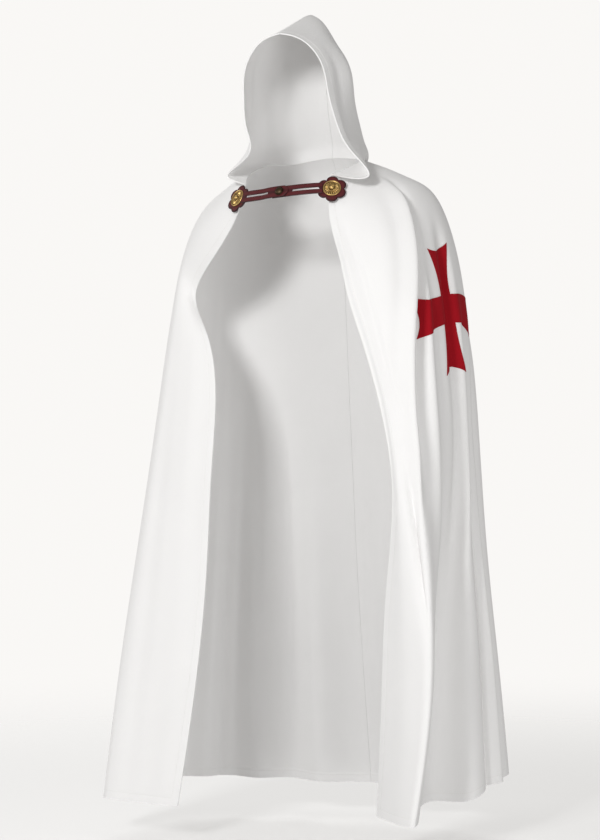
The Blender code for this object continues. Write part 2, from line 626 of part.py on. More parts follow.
frames = (left_frame, right_frame)
shares_right = np.linspace(*STRAP_RIGHT_SHARES, STRAP_STEPS)
shares_left = np.linspace(*STRAP_LEFT_SHARES, STRAP_STEPS)
overlap_lift = STRAP_THICK + PIECE_GAP
strap_piece("strap_right", shares_right, STRAP_RIGHT_SLOT, True,
            lambda share: overlap_lift * smooth(*STRAP_OVERLAP, share), frames, leather)
strap_piece("strap_left", shares_left, STRAP_LEFT_SLOT, False, lambda share: 0.0 * share, frames, leather)

stud_share = np.array(STUD_SHARES)
stud_line, stud_up = strap_line(stud_share, *frames)
stud_along = stud_line[2] - stud_line[0]
stud_along /= np.linalg.norm(stud_along)
stud_out = np.cross(stud_along, stud_up[1])
stud_turn = Matrix((stud_along, stud_up[1], stud_out)).transposed().to_4x4()
stud_seat = stud_line[1] + stud_out * (overlap_lift + 0.5 * STRAP_THICK + PIECE_GAP)
stud_profile = [(0.0, STUD_HEIGHT), (0.55 * STUD_RADIUS, 0.85 * STUD_HEIGHT),
                (0.9 * STUD_RADIUS, 0.5 * STUD_HEIGHT), (STUD_RADIUS, 0.15 * STUD_HEIGHT),
                (STUD_RADIUS, 0.0), (0.0, 0.0)]
turned_piece("stud", stud_profile, Matrix.Translation(Vector(stud_seat)) @ stud_turn, STUD_STEPS, dark_brass)
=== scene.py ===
"""Looks of a hooded cloak of white twill, with a leather neck clasp and a red cross on one arm.

Metres, +Z up. The origin is at the base of the neck, the front is -Y and the wearer's left is +X.
"""
import math

import bpy
import numpy as np
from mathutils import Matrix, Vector


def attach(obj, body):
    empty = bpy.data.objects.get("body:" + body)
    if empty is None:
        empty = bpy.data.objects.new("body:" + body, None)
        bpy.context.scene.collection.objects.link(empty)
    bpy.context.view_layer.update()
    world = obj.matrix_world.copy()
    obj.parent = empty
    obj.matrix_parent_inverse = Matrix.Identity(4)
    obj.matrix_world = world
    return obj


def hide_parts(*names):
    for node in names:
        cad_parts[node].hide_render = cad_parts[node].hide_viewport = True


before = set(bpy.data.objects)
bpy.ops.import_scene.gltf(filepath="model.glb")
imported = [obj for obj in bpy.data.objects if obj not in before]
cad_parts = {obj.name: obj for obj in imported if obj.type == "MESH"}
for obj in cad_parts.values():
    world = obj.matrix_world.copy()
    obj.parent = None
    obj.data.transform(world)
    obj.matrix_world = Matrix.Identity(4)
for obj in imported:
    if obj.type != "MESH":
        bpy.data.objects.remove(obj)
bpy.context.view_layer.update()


# Cloak: two halves of heavy white cotton twill, each near a quarter circle, sewn together down the
# centre back. They hang from the shoulders in soft folds, and hem and front edges are turned in and
# stitched once. Points in the tables are (across, back, up) in millimetres.
MM = 0.001
TWILL_THICK = 1.5 * MM
SEAM_GAP = 0.4 * MM
STEP = 1e-4
SHARP_EDGE = math.radians(55.0)
RIGHT_COLUMNS = {"edge": -1.0, "turn": -0.80, "side": -0.60, "rear": -0.30}
RIGHT_SECTIONS = [
    # level  edge                 turn                 side
    (0.000, (-100, -140, -23), (-118, -82, 6), (-112, -12, 30)),
    (0.035, (-106, -155, -72), (-143, -100, -16), (-152, -10, 13)),
    (0.085, (-135, -150, -125), (-190, -104, -58), (-205, 0, -12)),
    (0.135, (-190, -120, -178), (-243, -90, -108), (-256, 5, -46)),
    (0.190, (-252, -74, -240), (-284, -72, -172), (-292, 5, -118)),
    (0.270, (-214, -100, -330), (-302, -76, -265), (-315, 10, -225)),
    (0.380, (-168, -145, -472), (-318, -95, -422), (-335, 10, -395)),
    (0.480, (-165, -168, -620), (-336, -108, -570), (-352, 10, -540)),
    (0.640, (-171, -181, -850), (-364, -128, -800), (-382, 10, -775)),
    (0.800, (-193, -186, -1075), (-395, -142, -1030), (-415, 5, -1010)),
    (1.000, (-240, -180, -1340), (-432, -156, -1338), (-455, 0, -1335)),
]
LEFT_COLUMNS = {"rear": 0.30, "side": 0.55, "valley": 0.72, "crest": 0.85, "edge": 1.0}
LEFT_SECTIONS = [
    # level  side               valley              crest                edge
    (0.000, (112, -14, 30), (118, -58, 20), (116, -100, 6), (100, -140, -10)),
    (0.035, (154, -10, 17), (146, -68, 4), (133, -124, -25), (104, -160, -62)),
    (0.085, (211, 0, -7), (198, -84, -24), (171, -150, -70), (120, -181, -125)),
    (0.135, (253, 10, -34), (241, -94, -68), (210, -168, -126), (146, -195, -194)),
    (0.190, (286, 14, -98), (276, -98, -148), (242, -178, -202), (165, -205, -258)),
    (0.270, (315, 20, -220), (304, -98, -267), (268, -182, -316), (200, -210, -356)),
    (0.380, (336, 27, -391), (325, -98, -437), (293, -176, -480), (240, -203, -500)),
    (0.480, (342, 37, -535), (327, -80, -582), (307, -176, -625), (258, -190, -640)),
    (0.640, (344, 52, -765), (296, -40, -806), (338, -182, -852), (228, -150, -870)),
    (0.800, (350, 72, -985), (274, -24, -1026), (343, -178, -1072), (206, -122, -1090)),
    (1.000, (358, 94, -1302), (254, -14, -1326), (304, -168, -1345), (182, -92, -1345)),
]
# Centre back: level, back, up in millimetres.
BACK_SECTIONS = [
    (0.000, 85, 52), (0.035, 110, 15), (0.085, 128, -52), (0.135, 140, -125), (0.190, 149, -202),
    (0.270, 160, -312), (0.380, 175, -465), (0.480, 190, -605), (0.640, 216, -830),
    (0.800, 250, -1052), (1.000, 300, -1340),
]
REAR_RIGHT = (0.78, 0.78)
REAR_LEFT = (0.80, 0.885)
REAR_BACK = 0.80
REAR_DROP = 0.40
# Folds: place across at the shoulder and lower down, half width, level where it starts, is full and
# ends, height out of the cloth in millimetres (a valley's is negative), sideways lean.
FOLDS = [
    # high   low     width  start full  end   height  lean
    (0.733, 0.872, 0.022, 0.04, 0.13, 0.64, 25, -0.3),
    (0.790, 0.925, 0.050, 0.05, 0.16, 0.60, 8, 0.0),
    (0.825, 0.825, 0.022, 0.36, 0.50, 0.70, 13, -0.3),
    (0.905, 0.885, 0.022, 0.42, 0.54, 0.75, -20, 0.0),
    (0.690, 0.825, 0.020, 0.07, 0.18, 0.66, -14, 0.0),
    (0.715, 0.765, 0.020, 0.16, 0.27, 0.75, 12, -0.2),
    (0.603, 0.628, 0.030, 0.17, 0.28, 0.78, -20, 0.0),
    (0.575, 0.605, 0.030, 0.20, 0.40, 0.75, 12, -0.3),
    (0.600, 0.605, 0.045, 0.45, 0.80, 9.00, 22, -0.4),
    (0.520, 0.530, 0.028, 0.25, 0.60, 9.00, -26, 0.0),
    (0.455, 0.460, 0.075, 0.24, 0.52, 9.00, -30, 0.0),
    (0.450, 0.455, 0.026, 0.25, 0.55, 9.00, 15, -0.2),
    (0.390, 0.395, 0.026, 0.25, 0.60, 9.00, -26, 0.0),
    (0.335, 0.335, 0.034, 0.18, 0.40, 9.00, 13, 0.0),
    (0.205, 0.205, 0.042, 0.30, 0.90, 9.00, -34, 0.0),
    (0.068, 0.068, 0.040, 0.34, 0.90, 9.00, -30, 0.0),
    (-0.080, -0.080, 0.042, 0.30, 0.90, 9.00, -34, 0.0),
    (-0.215, -0.215, 0.044, 0.28, 0.88, 9.00, -36, 0.0),
    (-0.350, -0.350, 0.046, 0.30, 0.85, 9.00, -32, -0.1),
    (-0.490, -0.490, 0.046, 0.30, 0.90, 9.00, -28, -0.2),
    (-0.640, -0.640, 0.050, 0.36, 0.95, 9.00, -16, 0.0),
    (-0.890, -0.890, 0.060, 0.40, 0.95, 9.00, -8, 0.0),
]
FOLD_DRIFT = (0.05, 0.42)
FOLD_END = 0.2
# Finer creases of the finished cloth, with the same columns as the folds.
CREASES = [
    (0.978, 0.965, 0.014, 0.05, 0.14, 0.50, 5.0, 0.0),
    (0.945, 0.925, 0.014, 0.06, 0.16, 0.50, -3.5, 0.0),
    (0.270, 0.270, 0.014, 0.40, 0.80, 9.00, -6.0, 0.0),
    (0.135, 0.135, 0.012, 0.45, 0.85, 9.00, 5.0, 0.0),
    (-0.145, -0.145, 0.013, 0.45, 0.85, 9.00, 5.0, 0.0),
    (-0.285, -0.285, 0.014, 0.40, 0.80, 9.00, -6.0, 0.0),
    (-0.560, -0.560, 0.014, 0.40, 0.80, 9.00, 5.0, 0.0),
    (-0.740, -0.760, 0.020, 0.30, 0.60, 9.00, -4.0, 0.0),
]
# Slow waves in the cloth: waves across a half, turns down its length, start angle, height in mm.
RIPPLES = [(6.3, 0.35, 0.4, 1.2), (10.7, -0.55, 2.1, 0.8), (17.9, 0.80, 4.2, 0.45)]
RIPPLE_LEVELS = (0.10, 0.60)
# Where the hem hangs lower or higher: place across, half width, millimetres up.
HEM_DIPS = [(0.62, 0.060, -16.0), (0.45, 0.035, 6.0), (0.335, 0.050, 22.0)]
HEM_DIP_LEVELS = (0.72, 1.0)
HEM_WIDE = 20.0 * MM
HEM_EXTRA = 1.0 * MM
HEM_BLEND = 0.8 * MM
HEM_STITCH = 17.0 * MM
STITCH_DITCH = 0.5 * MM
STITCH_DITCH_WIDE = 1.6 * MM
STITCH_PITCH = 4.2 * MM
STITCH_LONG = 3.4 * MM
STITCH_THICK = 0.7 * MM
STITCH_BOW = 0.7
STITCH_SINK = 0.3
STITCH_RINGS = 4
STITCH_SIDES = 5
# Weave: slant of its ribs, height of ribs and of slubs, slubs, puckers and clouds per metre, bump.
TWILL_SLANT = 1.6
TWILL_RIB = 0.06
TWILL_SLUB = 0.16
TWILL_SLUBS = 420.0
TWILL_PUCKERS = 70.0
TWILL_CLOUDS = 7.0
TWILL_BUMP = (0.5, 0.8 * MM)
THREAD_FIBRES = 1400.0
FALL_STEPS = (150, 22)
ACROSS_STEPS = (165, 22)
FALL_BREAK = 0.979
ACROSS_BREAK = 0.972


def spline(knots, values, at):
    """Natural cubic spline through rows of values, read at the places `at`, straight beyond its ends.

    values is (knots, numbers) shared by all places, or (knots, places, numbers) one set for each."""
    knots = np.asarray(knots, dtype=float)
    values = np.asarray(values, dtype=float)
    count = len(knots)
    gaps = np.diff(knots)
    system = np.eye(count)
    sides = np.zeros_like(values)
    slopes = np.diff(values, axis=0) / gaps.reshape(-1, *[1] * (values.ndim - 1))
    inner = np.arange(1, count - 1)
    system[inner, inner - 1] = gaps[:-1]
    system[inner, inner] = 2.0 * (gaps[:-1] + gaps[1:])
    system[inner, inner + 1] = gaps[1:]
    sides[1:-1] = 6.0 * np.diff(slopes, axis=0)
    bends = np.linalg.solve(system, sides.reshape(count, -1)).reshape(values.shape)
    inside = np.clip(at, knots[0], knots[-1])
    low = np.clip(np.searchsorted(knots, inside) - 1, 0, count - 2)
    pick = (low,) if values.ndim == 2 else (low, np.arange(len(at)))
    pick_next = (low + 1,) + pick[1:]
    width = gaps[low][:, None]
    right = (inside - knots[low])[:, None] / width
    left = 1.0 - right
    start, end = values[pick], values[pick_next]
    bend_start, bend_end = bends[pick], bends[pick_next]
    result = left * start + right * end
    result += ((left**3 - left) * bend_start + (right**3 - right) * bend_end) * width**2 / 6.0
    slope = (end - start) / width
    slope += ((1.0 - 3.0 * left**2) * bend_start + (3.0 * right**2 - 1.0) * bend_end) * width / 6.0
    return result + slope * (at - inside)[:, None]


def smooth(start, end, value):
    """Rise from 0 at start to 1 at end, level at both; start may lie above end."""
    share = np.clip((value - start) / (end - start), 0.0, 1.0)
    return share * share * (3.0 - 2.0 * share)


def bell(value, middle, width):
    """1 at a middle value, falling on both sides as a bell of a half width."""
    return np.exp(-((value - middle) / width) ** 2)


def unit(vectors):
    """Vectors along the last direction of an array, each made 1 long."""
    return vectors / np.linalg.norm(vectors, axis=-1, keepdims=True)


def lofted(places, levels, lines, across, level):
    """A surface through section lines: a spline along each line, then a spline across the lines."""
    at_level = spline(levels, lines.reshape(len(levels), -1), level).reshape(len(level), -1, 3)
    return spline(places, np.swapaxes(at_level, 0, 1), across)


def run_along(path):
    """Metres along a path of points, from its first point to each of them."""
    return np.concatenate([[0.0], np.cumsum(np.linalg.norm(np.diff(path, axis=0), axis=1))])


def two_paces(turn, counts):
    """Places from 0 to 1: one count of them up to a turn, and closer ones of the other count beyond it."""
    return np.concatenate([np.linspace(0.0, turn, counts[0])[:-1], np.linspace(turn, 1.0, counts[1])])


def cloak_lines():
    """The section tables as one array (levels, lines, xyz) in metres, with each line's place across.

    The rear line of each half lies on a rounded corner between its side and the centre back, at a reach
    out from the axis that changes evenly from the neck to the hem."""
    back = np.array([(0.0, row[1], row[2]) for row in BACK_SECTIONS], dtype=float)
    right = np.array([row[1:] for row in RIGHT_SECTIONS], dtype=float)
    left = np.array([row[1:] for row in LEFT_SECTIONS], dtype=float)
    share = np.array([0.0, REAR_BACK, REAR_DROP])
    levels = [row[0] for row in BACK_SECTIONS]
    rears = []
    for side, reach in ((right[:, 2], REAR_RIGHT), (left[:, 0], REAR_LEFT)):
        rear = side + share * (back - side)
        rear[:, 0] *= np.interp(levels, (0.0, 1.0), reach)
        rears.append(rear)
    lines = [*right.swapaxes(0, 1), rears[0], back, rears[1], *left.swapaxes(0, 1)]
    places = [*RIGHT_COLUMNS.values(), 0.0, *LEFT_COLUMNS.values()]
    return np.array(places), np.stack(lines, axis=1) * MM


CLOAK_PLACES, CLOAK_LINES = cloak_lines()
CLOAK_LEVELS = [row[0] for row in BACK_SECTIONS]


def cloak_base(across, level):
    """The cloak without folds, from its section tables."""
    return lofted(CLOAK_PLACES, CLOAK_LEVELS, CLOAK_LINES, across, level)


def folded(across, level, folds):
    """The cloak with a table of folds: each is a bell-shaped ridge across the cloth, pushed out along
    the level normal and a little along the cloth, so that it leans."""
    along = cloak_base(across + STEP, level) - cloak_base(across - STEP, level)
    along[:, 2] = 0.0
    along = unit(along)
    outward = np.stack([-along[:, 1], along[:, 0], np.zeros(len(across))], axis=1)
    points = cloak_base(across, level)
    drift = smooth(*FOLD_DRIFT, level)
    for high, low, width, start, full, end, height, lean in folds:
        place = high + (low - high) * drift
        ridge = bell(across, place, width) * smooth(start, full, level)
        ridge *= 1.0 - smooth(end - FOLD_END, end, level)
        points += (ridge * height * MM)[:, None] * (outward + lean * along)
    return points, outward


def hung(across, level):
    """The cloak with its main folds alone, as the solids have it."""
    return folded(across, level, FOLDS)[0]


def cloak(across, level):
    """The finished cloak: folds, creases and slow waves, each wave a sine across and down the cloth, and
    bell-shaped dips of its hem."""
    points, outward = folded(across, level, FOLDS + CREASES)
    wave = np.zeros(len(across))
    for count, turns, start, height in RIPPLES:
        wave += height * MM * np.sin(2.0 * math.pi * (count * across + turns * level) + start)
    low_down = smooth(*HEM_DIP_LEVELS, level)
    for place, width, height in HEM_DIPS:
        points[:, 2] += height * MM * bell(across, place, width) * low_down
    return points + (wave * smooth(*RIPPLE_LEVELS, level))[:, None] * outward


def tangents(surface, across, level):
    """Unit directions of a surface along its two parameters, taken within one half of the hood."""
    half = 1.0 if np.mean(across) > 0.0 else -1.0
    low, high = np.maximum(level - STEP, 0.0), np.minimum(level + STEP, 1.0)
    first, last = across - STEP, across + STEP
    if surface is not cloak:
        first = half * np.maximum(half * first, 0.0)
        last = half * np.maximum(half * last, 0.0)
    along = surface(last, level) - surface(first, level)
    down = surface(across, high) - surface(across, low)
    return unit(along), unit(down)


def normals(surface, across, level):
    """Unit outward normals: the cloak's levels run down the cloth and the hood's run up."""
    along, down = tangents(surface, across, level)
    return unit(np.cross(along, down) * (1.0 if surface is cloak else -1.0))


def put_mesh(name, points, faces, finish, corner_uv=None):
    """A mesh object at the origin from points and faces, with a UV in metres for each point."""
    mesh = bpy.data.meshes.new(name)
    mesh.from_pydata(points.tolist(), [], faces.tolist() if hasattr(faces, "tolist") else faces)
    if corner_uv is not None:
        corners = np.zeros(len(mesh.loops), dtype=np.int32)
        mesh.loops.foreach_get("vertex_index", corners)
        mesh.uv_layers.new(name="cloth").uv.foreach_set("vector", corner_uv[corners].ravel())
    mesh.materials.append(finish)
    mesh.shade_smooth()
    mesh.set_sharp_from_angle(angle=SHARP_EDGE)
    mesh.update()
    piece = bpy.data.objects.new(name, mesh)
    bpy.context.scene.collection.objects.link(piece)
    return piece


def put_mark(piece, mark, values):
    """A named number for each point of a piece, for its material to read."""
    layer = piece.data.attributes.new(mark, "FLOAT", "POINT")
    layer.data.foreach_set("value", values.astype(np.float32))


def skin(name, cells, outer, inner, uv, finish, marks=None):
    """A closed wall: the cells on the outer points, the same cells turned over on the inner points, and
    a strip along each cell edge that no second cell shares."""
    count = len(outer)
    edges = np.concatenate([cells[:, [0, 1]], cells[:, [1, 2]], cells[:, [2, 3]], cells[:, [3, 0]]])
    shared = np.isin(edges[:, 1] * count + edges[:, 0], edges[:, 0] * count + edges[:, 1])
    start, end = edges[~shared].T
    rim = np.stack([end, start, start + count, end + count], axis=1)
    faces = np.concatenate([cells, cells[:, ::-1] + count, rim])
    used, faces = np.unique(faces, return_inverse=True)
    points = np.concatenate([outer, inner])
    piece = put_mesh(name, points[used], faces.reshape(-1, 4), finish, np.concatenate([uv, uv])[used])
    for mark, values in (marks or {}).items():
        put_mark(piece, mark, np.tile(values.ravel(), 2)[used])
    return piece


def grid_cells(rows, columns):
    """The four corner numbers of each cell of a grid of points."""
    number = np.arange(rows * columns).reshape(rows, columns)
    return np.stack([number[:-1, :-1], number[1:, :-1], number[1:, 1:], number[:-1, 1:]], axis=-1)


def wall(name, outer, inner, kept, uv, finish, marks=None):
    """A closed wall between two grids of points; `kept` says which of the grid's cells are there."""
    cells = grid_cells(*outer.shape[:2])[kept]
    return skin(name, cells, outer.reshape(-1, 3), inner.reshape(-1, 3), uv.reshape(-1, 2), finish, marks)


def cloth_lengths(points):
    """Metres of cloth along a grid's two directions, summed from its first row and first column."""
    along = np.linalg.norm(np.diff(points, axis=0), axis=2)
    down = np.linalg.norm(np.diff(points, axis=1), axis=2)
    along = np.concatenate([np.zeros((1, points.shape[1])), np.cumsum(along, axis=0)])
    down = np.concatenate([np.zeros((points.shape[0], 1)), np.cumsum(down, axis=1)], axis=1)
    return along, down


def turned_edge(from_edges):
    """Share of a turned-in hem at a distance from the nearest of some edges, and its stitch ditch."""
    nearest = np.minimum.reduce(from_edges)
    band = smooth(HEM_WIDE + HEM_BLEND, HEM_WIDE - HEM_BLEND, nearest)
    ditch = bell(nearest, HEM_STITCH, STITCH_DITCH_WIDE)
    return band, ditch


def node_group(name, inputs, outputs):
    """An empty shader node group with float inputs (name, default) and outputs (name, socket type)."""
    group = bpy.data.node_groups.new(name, "ShaderNodeTree")
    for title, value in inputs:
        group.interface.new_socket(title, in_out="INPUT", socket_type="NodeSocketFloat").default_value = value
    for title, kind in outputs:
        group.interface.new_socket(title, in_out="OUTPUT", socket_type=kind)
    return group, group.nodes.new("NodeGroupInput"), group.nodes.new("NodeGroupOutput")


def maths(tree, operation, first, second=0.0):
    """A Math node in a tree; each operand is a socket or a number. Gives its output socket."""
    node = tree.nodes.new("ShaderNodeMath")
    node.operation = operation
    for slot, value in zip(node.inputs, (first, second)):
        if isinstance(value, bpy.types.NodeSocket):
            tree.links.new(value, slot)
        else:
            slot.default_value = value
    return node.outputs[0]


def noise(tree, vector, scale, detail=3.0):
    """A noise texture in a tree, read at a vector socket. Gives its 0 to 1 output socket."""
    node = tree.nodes.new("ShaderNodeTexNoise")
    node.inputs["Detail"].default_value = detail
    tree.links.new(vector, node.inputs["Vector"])
    if isinstance(scale, bpy.types.NodeSocket):
        tree.links.new(scale, node.inputs["Scale"])
    else:
        node.inputs["Scale"].default_value = scale
    return node.outputs["Fac"]


def mixed(tree, share, first, second):
    """A mix of two colours in a tree by a share socket; each colour is a socket or three numbers."""
    node = tree.nodes.new("ShaderNodeMix")
    node.data_type = "RGBA"
    tree.links.new(share, node.inputs["Factor"])
    for slot, colour in (("A", first), ("B", second)):
        if isinstance(colour, bpy.types.NodeSocket):
            tree.links.new(colour, node.inputs[slot])
        else:
            node.inputs[slot].default_value = (*colour, 1.0)
    return node.outputs["Result"]


def bumped(tree, shader, height, strength, distance):
    """Feed a height socket to a shader's normal, through a bump of a strength and a depth in metres."""
    bump = tree.nodes.new("ShaderNodeBump")
    bump.inputs["Strength"].default_value = strength
    bump.inputs["Distance"].default_value = distance
    tree.links.new(height, bump.inputs["Height"])
    tree.links.new(bump.outputs["Normal"], shader.inputs["Normal"])


def new_finish(name):
    """A new material with its node tree and its shader."""
    finish = bpy.data.materials.new(name)
    finish.use_nodes = True
    return finish, finish.node_tree, finish.node_tree.nodes["Principled BSDF"]


def weave_group():
    """Twill weave on the cloth's own UV: slanted ribs a pitch apart, slubs in the yarn, and puckers of
    the cloth where the mark `hem` says that a row of stitches pulls it in."""
    group, ins, outs = node_group("twill_weave", [("Ribs per metre", 900.0), ("Slub", 0.5), ("Pucker", 1.0)],
                                  [("Height", "NodeSocketFloat"), ("Shade", "NodeSocketFloat")])
    uv = group.nodes.new("ShaderNodeUVMap")
    uv.uv_map = "cloth"
    parts = group.nodes.new("ShaderNodeSeparateXYZ")
    group.links.new(uv.outputs["UV"], parts.inputs[0])
    slant = maths(group, "ADD", parts.outputs["X"], maths(group, "MULTIPLY", parts.outputs["Y"], TWILL_SLANT))
    turns = maths(group, "MULTIPLY", slant, ins.outputs["Ribs per metre"])
    rib = maths(group, "SINE", maths(group, "MULTIPLY", turns, 2.0 * math.pi))
    slub = noise(group, uv.outputs["UV"], TWILL_SLUBS)
    hem = group.nodes.new("ShaderNodeAttribute")
    hem.attribute_name = "hem"
    pucker = maths(group, "MULTIPLY", noise(group, uv.outputs["UV"], TWILL_PUCKERS, 1.0), hem.outputs["Fac"])
    pucker = maths(group, "MULTIPLY", pucker, ins.outputs["Pucker"])
    height = maths(group, "ADD", maths(group, "MULTIPLY", rib, TWILL_RIB),
                   maths(group, "MULTIPLY", slub, TWILL_SLUB))
    group.links.new(maths(group, "ADD", height, pucker), outs.inputs["Height"])
    cloudy = noise(group, uv.outputs["UV"], TWILL_CLOUDS)
    shade = maths(group, "ADD", maths(group, "MULTIPLY", slub, ins.outputs["Slub"]),
                  maths(group, "MULTIPLY", cloudy, 0.5))
    group.links.new(shade, outs.inputs["Shade"])
    return group


TWILL_WEAVE = weave_group()


def cloth_material(name, light, dark, ribs, roughness, sheen):
    """A woven cloth: two close tints mixed by the weave's shade, with the weave's height as bump."""
    finish, tree, shader = new_finish(name)
    shader.inputs["Roughness"].default_value = roughness
    shader.inputs["Sheen Weight"].default_value = sheen
    shader.inputs["Sheen Roughness"].default_value = 0.5
    shader.inputs["Specular IOR Level"].default_value = 0.15
    weave = tree.nodes.new("ShaderNodeGroup")
    weave.node_tree = TWILL_WEAVE
    weave.inputs["Ribs per metre"].default_value = ribs
    tree.links.new(mixed(tree, weave.outputs["Shade"], dark, light), shader.inputs["Base Color"])
    bumped(tree, shader, weave.outputs["Height"], *TWILL_BUMP)
    return finish


def thread_material(name, light, dark):
    """Sewing thread: two tints mixed by the fine noise of its twisted fibres."""
    finish, tree, shader = new_finish(name)
    shader.inputs["Roughness"].default_value = 0.6
    shader.inputs["Specular IOR Level"].default_value = 0.2
    place = tree.nodes.new("ShaderNodeTexCoord")
    fibres = noise(tree, place.outputs["Object"], THREAD_FIBRES)
    tree.links.new(mixed(tree, fibres, dark, light), shader.inputs["Base Color"])
    return finish


WHITE_TWILL = cloth_material("white_twill", (0.90, 0.894, 0.888), (0.82, 0.814, 0.808), 900.0, 0.85, 0.10)
WHITE_THREAD = thread_material("white_thread", (0.88, 0.87, 0.85), (0.70, 0.69, 0.67))


# Hood: two mirrored pieces sewn over the crown and down the back, and to the cloak's neck edge. The
# front edge has a turned-in hem. The lower front corners turn out, the wearer's left one in a roll.
HOOD_PLACES = [-1.0, -0.60, -0.30, 0.0, 0.30, 0.60, 1.0]
HOOD_SECTIONS = [
    # level  right edge            left edge            cheek            rear            back, up
    (0.00, (-100, -140, -23), (100, -140, -10), (112, -20, 28), (76, 64, 46), (85, 52)),
    (0.08, (-140, -142, -6), (164, -156, -23), (127, -28, 38), (84, 60, 66), (87, 76)),
    (0.15, (-130, -144, 10), (190, -148, -14), (126, -38, 56), (84, 52, 84), (82, 94)),
    (0.24, (-82, -162, 38), (160, -164, 30), (119, -48, 84), (82, 40, 112), (72, 122)),
    (0.36, (-84, -166, 90), (130, -172, 84), (112, -56, 122), (80, 28, 148), (62, 158)),
    (0.52, (-90, -168, 152), (110, -174, 152), (109, -64, 178), (78, 16, 196), (53, 206)),
    (0.68, (-88, -170, 206), (98, -174, 206), (101, -70, 228), (70, 6, 244), (42, 254)),
    (0.83, (-66, -174, 252), (70, -176, 252), (73, -80, 274), (46, -8, 290), (26, 303)),
    (0.93, (-34, -178, 276), (34, -179, 276), (38, -90, 299), (22, -30, 320), (4, 331)),
    (1.00, (0, -180, 283), (0, -180, 283), (0, -96, 310), (0, -48, 330), (-18, 346)),
]
NECK_BLEND = 0.15
HOOD_MIDDLE = np.array([0.0, -0.06, 0.18])
# Folds of the hood: place across, half width, level where it starts, is full and ends, height in mm.
HOOD_FOLDS = [(0.80, 0.07, 0.28, 0.56, 0.95, -5.0), (0.60, 0.08, 0.30, 0.60, 0.97, 5.0),
              (0.93, 0.05, 0.16, 0.34, 0.60, 3.5), (0.40, 0.07, 0.20, 0.50, 0.90, -4.0),
              (-0.78, 0.07, 0.28, 0.56, 0.95, -5.0), (-0.58, 0.08, 0.30, 0.60, 0.97, 4.0),
              (-0.35, 0.07, 0.20, 0.50, 0.90, -4.0)]
PEAK_TOP = 0.347
PEAK_ROUND = 0.020
PEAK_FADE = (0.015, 0.075)
SEAM_LOST = 0.3
HOOD_STEPS = (110, 22)
HOOD_BREAK = 0.90
HOOD_RISE_STEPS = 150
HOOD_LINES = np.array([
    [right_edge, (-cheek[0], *cheek[1:]), (-rear[0], *rear[1:]), (0, *back), rear, cheek, left_edge]
    for _, right_edge, left_edge, cheek, rear, back in HOOD_SECTIONS], dtype=float) * MM
HOOD_LEVELS = [row[0] for row in HOOD_SECTIONS]


def hood_base(across, level):
    """The hood without folds, from its section table."""
    return lofted(HOOD_PLACES, HOOD_LEVELS, HOOD_LINES, across, level)


def hood(across, level):
    """The hood, fitted to the cloak's neck edge at its lowest level by a fading shift, with soft folds
    pushed out level from its middle. Its peak is rounded: the drop below the top becomes a hyperbola."""
    neck = np.zeros(len(across))
    fade = 1.0 - smooth(0.0, NECK_BLEND, level)
    points = hood_base(across, level) + (cloak_base(across, neck) - hood_base(across, neck)) * fade[:, None]
    outward = (points - HOOD_MIDDLE) * np.array([1.0, 1.0, 0.0])
    outward /= np.linalg.norm(outward, axis=1, keepdims=True) + STEP
    for place, width, start, full, end, height in HOOD_FOLDS:
        ridge = bell(across, place, width) * smooth(start, full, level)
        points += (ridge * (1.0 - smooth(full, end, level)) * height * MM)[:, None] * outward
    drop = np.maximum(PEAK_TOP - points[:, 2], 0.0)
    rounding = drop + PEAK_ROUND - np.hypot(drop, PEAK_ROUND)
    points[:, 2] += rounding * (1.0 - smooth(*PEAK_FADE, drop))
    return points


def neck_mitre(across):
    """At the neck seam: the direction shared by both walls, and the way from the hood to the cloak."""
    neck = np.zeros(len(across))
    mitre = unit(normals(cloak, across, neck) + normals(hood, across, neck))
    apart = tangents(cloak, across, neck)[1] - tangents(hood, across, neck)[1]
    apart -= np.sum(apart * mitre, axis=1, keepdims=True) * mitre
    return mitre, unit(apart)


